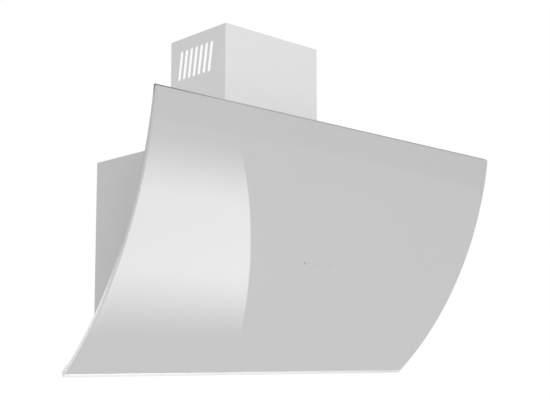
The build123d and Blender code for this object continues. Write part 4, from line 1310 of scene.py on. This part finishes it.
class HOOD_OT_motor(bpy.types.Operator):
    """The motor: two pressed end shells with a rolled edge, the stator's sheets between them, and
    three screws in the front"""

    bl_idname = "hood.motor"
    bl_label = "Motor"

    def execute(self, context):
        skin = Skin()
        back = [(0, 33), (43.5, 33), (45.3, 33.7), (46, 35.5), (46, 45.6), (45.5, 46.4), (43.5, 46.8),
                (43.5, 47.4), (0, 47.4)]
        lathe(skin, mm(back), BLOWER, 72)
        stator = [(0, 47.3)]
        for sheet in range(17):
            foot = 47.3 + 1.5 * sheet
            stator += [(43.4, foot), (43.9, foot + 0.3), (43.9, foot + 1.1), (43.4, foot + 1.4)]
        stator += [(0, 72.7)]
        lathe(skin, mm(stator), BLOWER, 72, mark=1)
        front = [(4.05, 92), (9.5, 92), (10, 91.6), (10.2, 90.8), (17, 90.4), (18, 91.4), (19, 92),
                 (38.5, 92)]
        front += [(40 + 6 * sin(a), 86 + 6 * cos(a)) for a in np.linspace(0.2, pi / 2, 6)]
        front += [(46, 74.4), (45.5, 73.6), (43.5, 73.2), (43.5, 72.6), (4.05, 72.6)]
        lathe(skin, mm(front), BLOWER, 72, closed=True)
        face, bolt_circle = 92.0 * MM, 34.0 * MM
        for bolt in range(3):
            angle = pi / 6 + bolt * tau / 3
            x, z = bolt_circle * cos(angle), bolt_circle * sin(angle)
            screw(skin, lambda a, b, c: BLOWER(x + a, z + b, face + c), *MOTOR_SCREW,
                  shank=3.0 * MM, mark=2)
        add_piece("motor_shells", skin.mesh("motor_shells"),
                  ["galvanised_sheet", "stator_sheets", "bright_zinc"], "hood_body", ["motor"])
        return {"FINISHED"}


# ================================================================== the electrics
WALL = on_plane((0, 0, 0), (1, 0, 0), (0, 0, 1))
# The control box's middle and the terminals' place on the wall, in millimetres.
BOX_X, BOX_Z = 135.0, 95.0
TERMINAL_X, TERMINAL_Z = 268.0, 75.0
BOARD_FACE = 10.8


class HOOD_OT_box_lid(bpy.types.Operator):
    """The control box's lid: a plate with a raised rim and four screws"""

    bl_idname = "hood.box_lid"
    bl_label = "Control box lid"

    def execute(self, context):
        rim = mm([(0, 39.2), (0, 40.4), (0.3, 41.0), (0.9, 41.2), (5, 41.2), (5.6, 40.8), (8, 40.8)])
        screw_x, screw_z, screw_out = 51.5, 45.5, 41.15
        lid = Skin()
        plate(lid, mm(rectangle(116, 104, (BOX_X, BOX_Z))), 4 * MM, rim, WALL)
        for x in (BOX_X - screw_x, BOX_X + screw_x):
            for z in (BOX_Z - screw_z, BOX_Z + screw_z):
                place = on_plane(mm((x, -screw_out, z)), (1, 0, 0), (0, 0, 1))
                screw(lid, place, *LID_SCREW, shank=6.0 * MM, mark=1)
        add_piece("box_lid", lid.mesh("box_lid"), ["black_plastic", "bright_zinc"], "hood_body",
                  ["control_box_lid"])
        return {"FINISHED"}


class HOOD_OT_power_board(bpy.types.Operator):
    """The board with its transformer, two relays, five connectors, a reservoir and six resistors"""

    bl_idname = "hood.power_board"
    bl_label = "Power board"

    def execute(self, context):
        board = Skin()
        plate(board, mm(rectangle(104, 92, (BOX_X, BOX_Z))), 1.0 * MM,
              mm([(0, 9.2), (0, 10.6), (0.2, BOARD_FACE)]), WALL, steps=3)

        def block(width, height, x, z, top, mark, foot=BOARD_FACE, corner=0.8):
            """A part with a softened top at x, z from the board's middle; all in millimetres."""
            plate(board, mm(rectangle(width, height, (BOX_X + x, BOX_Z + z))), corner * MM,
                  mm([(0, foot), (0, top - 0.5), (0.15, top - 0.15), (0.5, top)]), WALL, mark, 4)

        plastic, core, white = 1, 2, 3
        transformer = (-28, 20)
        block(32, 28, *transformer, 15.0, plastic)
        block(30, 16, *transformer, 28.8, core)
        block(20, 26, *transformer, 26.0, plastic, foot=15.0, corner=3.0)
        for relay_z in (24, -2):
            block(20, 16, 24, relay_z, 26.5, white)
        for connector in range(5):
            block(7, 9, -36 + 16 * connector, -39, 17.0, white)
        reservoir = mm([
            (0, BOARD_FACE), (7.6, BOARD_FACE), (8, 11.4), (7.5, 12.4), (8, 13.4), (8, 28.0),
            (7.5, 28.8), (6.4, 28.8), (6.2, 28.4), (0, 28.4),
        ])
        middle = mm((BOX_X - 26, 0, BOX_Z - 24))
        lathe(board, reservoir, on_plane(middle, (1, 0, 0), (0, 0, 1)), 40, mark=plastic)
        for resistor in range(6):
            x, z, out = BOX_X - 6 + 6 * resistor, BOX_Z - 24, 12.2
            bar(board, mm((x, z - 4, out)), mm((x, z + 4, out)), 1.1 * MM, WALL, mark=white)
        add_piece("board_parts", board.mesh("board_parts"),
                  ["solder_mask", "black_plastic", "stator_sheets", "white_plastic"], "hood_body",
                  ["power_board"])
        return {"FINISHED"}


class HOOD_OT_terminal_screws(bpy.types.Operator):
    """The terminal block's three screws"""

    bl_idname = "hood.terminal_screws"
    bl_label = "Terminal screws"

    def execute(self, context):
        pitch, out = 13.0, 7.2
        terminals = Skin()
        for terminal in (-1, 0, 1):
            centre = mm((TERMINAL_X + pitch * terminal, -out, TERMINAL_Z))
            place = on_plane(centre, (1, 0, 0), (0, 0, 1))
            screw(terminals, place, *TERMINAL_SCREW, shank=3.0 * MM)
        add_piece("terminal_screws", terminals.mesh("terminal_screws"), ["bright_zinc"], "hood_body",
                  slot="bright_steel")
        return {"FINISHED"}


class HOOD_OT_capacitor(bpy.types.Operator):
    """The motor's capacitor: a rolled can with a strap, two tags and a foot on the back panel"""

    bl_idname = "hood.capacitor"
    bl_label = "Motor capacitor"

    def execute(self, context):
        can = mm([
            (0, -49), (14.8, -49), (16.4, -48.4), (17, -46.8), (17, 16.6), (16.5, 17.3), (17, 18.0),
            (17, 20.2), (16.4, 21), (15.6, 20.8), (15.2, 19.8), (0, 19.8),
        ])
        strap = mm([(17.02, -19), (17.5, -19), (17.5, -9), (17.02, -9)])
        place = on_plane(mm((BOX_X, -19.2, 0)), (1, 0, 0), (0, 1, 0))
        skin = Skin()
        lathe(skin, can, place, 56)
        lathe(skin, strap, place, 56, mark=1, closed=True)
        for x in (-5.0, 5.0):
            plate(skin, mm(rectangle(6.3, 0.8, (x, 0))), 0.2 * MM,
                  mm([(0, 19.5), (0, 20.6), (0.2, 20.9)]), place, mark=1, steps=3)
        plate(skin, mm(rectangle(24, 20, (BOX_X, -14))), 1.5 * MM,
              mm([(0, 1.2), (0, 4.6), (0.5, 5.2)]), WALL, steps=4)
        add_piece("capacitor_can", skin.mesh("capacitor_can"), ["white_plastic", "bright_zinc"],
                  "hood_body", ["motor_capacitor"])
        return {"FINISHED"}


# ================================================================== everything else
SOFT_EDGES = {
    "upper_chimney_cover": 0.45 * MM,
    "lower_chimney_cover": 0.5 * MM,
    "side_panel_left": 0.5 * MM,
    "side_panel_right": 0.5 * MM,
    "top_panel": 0.4 * MM,
    "bottom_panel": 0.4 * MM,
    "front_fascia": 0.4 * MM,
    "back_panel": 0.4 * MM,
    "chimney_bracket": 0.4 * MM,
    "hinge_bracket_left": 0.6 * MM,
    "hinge_bracket_right": 0.6 * MM,
    "hinge_leaf_left": 0.6 * MM,
    "hinge_leaf_right": 0.6 * MM,
    "touch_housing": 0.6 * MM,
    "outlet_collar": 0.4 * MM,
    "filter_rail_top": 0.3 * MM,
    "filter_rail_bottom": 0.3 * MM,
    "scroll_wrapper": 0.3 * MM,
    "scroll_back_plate": 0.3 * MM,
    "scroll_front_plate": 0.3 * MM,
    "outlet_transition": 0.3 * MM,
    "motor_mount": 0.5 * MM,
    "damper_flap_front": 0.25 * MM,
    "damper_flap_rear": 0.25 * MM,
    "control_box": 0.6 * MM,
    "terminal_block": 0.5 * MM,
    "strikers": 0.4 * MM,
    "touch_board": 0.2 * MM,
    "panel_tray": 0.3 * MM,
}


def finish_of(node):
    """The finish of a node's slot; the body's painted sheets take a darker copy of the chimney's coat,
    which is painted shade.
    """
    if slot_of_node[node] == "painted_steel" and "chimney" not in node:
        return "shaded_body_coat"
    return FINISH_OF_SLOT[slot_of_node[node]]


class HOOD_OT_soft_edges(bpy.types.Operator):
    """Folded and pressed pieces whose shape is right get their rounded edges"""

    bl_idname = "hood.soft_edges"
    bl_label = "Rounded edges"

    def execute(self, context):
        for node, width in SOFT_EDGES.items():
            softened(node, finish_of(node), width)
        return {"FINISHED"}


class HOOD_OT_finishes(bpy.types.Operator):
    """Makes the finishes and gives every CAD node the one of its slot"""

    bl_idname = "hood.finishes"
    bl_label = "Finishes"

    def execute(self, context):
        glass_finishes(context.scene.hood_glass)
        sheet_finishes(context.scene.hood_sheets)
        metal_finishes()
        plastic_finishes()
        for node, solid in cad_nodes.items():
            material = finishes[finish_of(node)]
            if not solid.material_slots:
                solid.data.materials.append(material)
            for slot in solid.material_slots:
                slot.material = material
        return {"FINISHED"}


# ================================================================== the studio
CAMERA_PLACE = (-1.3774, -1.6566, -0.2111)
CAMERA_YAW = radians(-43.06)
CAMERA_PITCH = radians(6.10)
FOCAL_PIXELS = 1000.0
FRAME_WIDTH = 550
FRAME_HEIGHT = 400
CENTRE_X = 274.6  # where the camera's axis meets the frame, in pixels
CENTRE_Y = 251.0

SOFTBOX_NEAR_X, SOFTBOX_CLEAR_X, SOFTBOX_FAR_X = -0.8, -0.3, 1.124
# Where the softbox is dark and where it is fully bright, on its own map: X in metres along the
# wall, Y in right angles below the level.
SOFTBOX_FADES = (
    ("Y", 2.0 / 90, 31.4 / 90), ("Y", 1.0, 55.0 / 90), ("X", SOFTBOX_NEAR_X, SOFTBOX_CLEAR_X),
)


def softbox_mesh():
    """A quarter of a cylinder about a line along the wall: (x, y, z) = (x, y0 - r cos a,
    z0 - r sin a). Its far edge bows by a square and a cube of a, in degrees from the middle of
    the bow, so the glass shows a field with one clean, curved side. Its map holds x and a, in
    right angles."""
    radius, axis_y, axis_z = 1.5, -0.30, 0.0
    bow_middle, bow_square, bow_cube = 53.0, -6.7e-5, 2.2e-7
    angle = np.linspace(radians(-8), radians(96), 60)
    turn = np.degrees(angle) - bow_middle
    far_x = SOFTBOX_FAR_X + bow_square * turn**2 + bow_cube * turn**3
    share = np.linspace(0, 1, 8)
    grid_x = SOFTBOX_NEAR_X + (far_x - SOFTBOX_NEAR_X)[:, None] * share
    grid_a = np.broadcast_to(angle[:, None], grid_x.shape)
    surface = np.stack(
        [grid_x, axis_y - radius * np.cos(grid_a), axis_z - radius * np.sin(grid_a)], -1
    )
    mesh = Skin().grid(surface).mesh("softbox")
    layer = mesh.uv_layers.new(name="UVMap")
    place = np.zeros(len(mesh.vertices) * 3)
    mesh.vertices.foreach_get("co", place)
    place = place.reshape(-1, 3)
    corner = np.zeros(len(mesh.loops), np.int32)
    mesh.loops.foreach_get("vertex_index", corner)
    bend = np.degrees(np.arctan2(axis_z - place[:, 2], axis_y - place[:, 1])) / 90
    layer.data.foreach_set("uv", np.stack([place[:, 0], bend], 1)[corner].ravel())
    return mesh


def softbox_material(strength):
    """Light that adds to what lies behind it: the strength times one smooth fade for each row
    of SOFTBOX_FADES."""
    material = bpy.data.materials.new("softbox")
    material.use_nodes = True
    tree = material.node_tree
    tree.nodes.remove(tree.nodes["Principled BSDF"])
    emission = tree.nodes.new("ShaderNodeEmission")
    uv = tree.nodes.new("ShaderNodeUVMap")
    split = tree.nodes.new("ShaderNodeSeparateXYZ")
    tree.links.new(uv.outputs["UV"], split.inputs["Vector"])
    level = None
    for axis, dark, bright in SOFTBOX_FADES:
        rising = dark < bright
        fade = tree.nodes.new("ShaderNodeMapRange")
        fade.interpolation_type = "SMOOTHSTEP"
        fade.inputs["From Min"].default_value = min(dark, bright)
        fade.inputs["From Max"].default_value = max(dark, bright)
        fade.inputs["To Min"].default_value = 0.0 if rising else 1.0
        fade.inputs["To Max"].default_value = 1.0 if rising else 0.0
        tree.links.new(split.outputs[axis], fade.inputs["Value"])
        product = tree.nodes.new("ShaderNodeMath")
        product.operation = "MULTIPLY"
        product.inputs[1].default_value = strength
        tree.links.new(fade.outputs["Result"], product.inputs[0])
        if level:
            tree.links.new(level, product.inputs[1])
        level = product.outputs["Value"]
    tree.links.new(level, emission.inputs["Strength"])
    clear = tree.nodes.new("ShaderNodeBsdfTransparent")
    over = tree.nodes.new("ShaderNodeAddShader")
    tree.links.new(emission.outputs["Emission"], over.inputs[0])
    tree.links.new(clear.outputs["BSDF"], over.inputs[1])
    tree.links.new(over.outputs["Shader"], tree.nodes["Material Output"].inputs["Surface"])
    return material


class HOOD_OT_studio(bpy.types.Operator):
    """Camera, pale floor, even light from all round, the tall softbox, and a large light in front
    and one overhead that no reflection shows"""

    bl_idname = "hood.studio"
    bl_label = "Studio"

    def execute(self, context):
        scene = context.scene
        settings = scene.hood_stage
        scene.view_settings.view_transform = "Standard"
        self.add_camera(scene)
        self.add_world(scene, settings)
        self.add_floor(scene, settings)
        self.add_softbox(scene, settings)
        self.add_lamp(scene, "key_light", place=(-1.5, -5.2, 0.4), target=(0.0, -0.25, 0.1),
                      size=3.0, power=settings.key)
        self.add_lamp(scene, "top_light", place=(0.0, -1.1, 2.7), target=(0.0, -0.2, 0.2),
                      size=1.4, power=settings.top)
        return {"FINISHED"}

    def add_camera(self, scene):
        """The camera, its axis shifted to where it meets the frame."""
        lens = bpy.data.cameras.new("camera")
        lens.sensor_width = 36.0
        lens.lens = FOCAL_PIXELS / FRAME_WIDTH * lens.sensor_width
        lens.shift_x = (FRAME_WIDTH / 2 - CENTRE_X) / FRAME_WIDTH
        lens.shift_y = (CENTRE_Y - FRAME_HEIGHT / 2) / FRAME_WIDTH
        lens.clip_start = 0.05
        lens.clip_end = 60.0
        camera = bpy.data.objects.new("camera", lens)
        camera.location = CAMERA_PLACE
        camera.rotation_euler = (pi / 2 + CAMERA_PITCH, 0.0, CAMERA_YAW)
        scene.collection.objects.link(camera)
        scene.camera = camera

    def add_world(self, scene, settings):
        """White where the camera sees it, dimmer as a light."""
        world = bpy.data.worlds.new("studio")
        world.use_nodes = True
        tree = world.node_tree
        output = tree.nodes["World Output"]
        seen = tree.nodes["Background"]
        seen.inputs["Color"].default_value = (1, 1, 1, 1)
        seen.inputs["Strength"].default_value = 1.0
        light = tree.nodes.new("ShaderNodeBackground")
        light.inputs["Color"].default_value = (1, 1, 1, 1)
        light.inputs["Strength"].default_value = settings.ambient
        path = tree.nodes.new("ShaderNodeLightPath")
        mix = tree.nodes.new("ShaderNodeMixShader")
        tree.links.new(path.outputs["Is Camera Ray"], mix.inputs["Fac"])
        tree.links.new(light.outputs["Background"], mix.inputs[1])
        tree.links.new(seen.outputs["Background"], mix.inputs[2])
        tree.links.new(mix.outputs["Shader"], output.inputs["Surface"])
        scene.world = world

    def add_floor(self, scene, settings):
        """A pale floor that is clear from below, so that the hood's underside can be seen."""
        side, seen_glow = 28.0, 0.7
        corners = [(x, y, settings.floor_z) for x, y in rectangle(side, side)]
        mesh = bpy.data.meshes.new("floor")
        mesh.from_pydata(corners, [], [(0, 1, 2, 3)])
        pale = Finish("studio_floor", grey(0.88), roughness=0.8)
        pale.tint(pale.noise(3, 2.0), 0.004)
        path = pale.tree.nodes.new("ShaderNodeLightPath")
        glow = pale.tree.nodes.new("ShaderNodeMapRange")
        glow.inputs["To Min"].default_value = settings.floor_glow
        glow.inputs["To Max"].default_value = seen_glow
        pale.tree.links.new(path.outputs["Is Camera Ray"], glow.inputs["Value"])
        pale.set(Emission_Color=(1, 1, 1, 1))
        pale.tree.links.new(glow.outputs["Result"], pale.shader.inputs["Emission Strength"])
        under = pale.tree.nodes.new("ShaderNodeNewGeometry")
        clear = pale.tree.nodes.new("ShaderNodeBsdfTransparent")
        sides = pale.tree.nodes.new("ShaderNodeMixShader")
        pale.tree.links.new(under.outputs["Backfacing"], sides.inputs["Fac"])
        pale.tree.links.new(pale.shader.outputs["BSDF"], sides.inputs[1])
        pale.tree.links.new(clear.outputs["BSDF"], sides.inputs[2])
        output = pale.tree.nodes["Material Output"]
        pale.tree.links.new(sides.outputs["Shader"], output.inputs["Surface"])
        mesh.materials.append(finishes["studio_floor"])
        floor = bpy.data.objects.new("floor", mesh)
        scene.collection.objects.link(floor)

    def add_softbox(self, scene, settings):
        """The softbox: only reflections show it, and it throws no light on rough surfaces."""
        mesh = softbox_mesh()
        mesh.materials.append(softbox_material(settings.softbox))
        box = bpy.data.objects.new("softbox", mesh)
        scene.collection.objects.link(box)
        box.visible_camera = False
        box.visible_diffuse = False
        box.visible_shadow = False
        box.visible_transmission = False

    def add_lamp(self, scene, name, place, target, size, power):
        """A square light that shows in no reflection."""
        light = bpy.data.lights.new(name, "AREA")
        light.shape = "SQUARE"
        light.size = size
        light.energy = power
        lamp = bpy.data.objects.new(name, light)
        lamp.location = place
        lamp.rotation_euler = (Vector(target) - Vector(place)).to_track_quat("-Z", "Y").to_euler()
        lamp.visible_glossy = False
        scene.collection.objects.link(lamp)


# ================================================================== the add-on
groups = {
    "hood_glass": HoodGlass,
    "hood_sheets": HoodSheets,
    "hood_filters": HoodFilters,
    "hood_stage": HoodStage,
}
operators = (
    HOOD_OT_finishes,
    HOOD_OT_glass_pane,
    HOOD_OT_edge_seal,
    HOOD_OT_bottom_trim,
    HOOD_OT_touch_keys,
    HOOD_OT_hinges,
    HOOD_OT_catches,
    HOOD_OT_filter_frames,
    HOOD_OT_filter_meshes,
    HOOD_OT_filter_latches,
    HOOD_OT_lamps,
    HOOD_OT_outlet,
    HOOD_OT_gland,
    HOOD_OT_blower_inlet,
    HOOD_OT_blower_wheel,
    HOOD_OT_motor,
    HOOD_OT_box_lid,
    HOOD_OT_power_board,
    HOOD_OT_terminal_screws,
    HOOD_OT_capacitor,
    HOOD_OT_soft_edges,
    HOOD_OT_studio,
)


class HOOD_PT_pieces(bpy.types.Panel):
    """Lists the hood's sizes, colours and pieces"""

    bl_idname = "HOOD_PT_pieces"
    bl_label = "Range hood"
    bl_space_type = "VIEW_3D"
    bl_region_type = "UI"
    bl_category = "Hood"

    def draw(self, context):
        for name, group in groups.items():
            column = self.layout.column()
            for setting in group.__annotations__:
                column.prop(getattr(context.scene, name), setting)
        for operator in operators:
            self.layout.operator(operator.bl_idname)


def register():
    for group in groups.values():
        bpy.utils.register_class(group)
    for operator in operators:
        bpy.utils.register_class(operator)
    bpy.utils.register_class(HOOD_PT_pieces)
    for name, group in groups.items():
        setattr(bpy.types.Scene, name, PointerProperty(type=group))


def unregister():
    for name in groups:
        delattr(bpy.types.Scene, name)
    bpy.utils.unregister_class(HOOD_PT_pieces)
    for operator in reversed(operators):
        bpy.utils.unregister_class(operator)
    for group in reversed(groups.values()):
        bpy.utils.unregister_class(group)


def main():
    register()
    for operator in operators:
        category, name = operator.bl_idname.split(".")
        getattr(getattr(bpy.ops, category), name)()


if __name__ == "__main__":
    main()
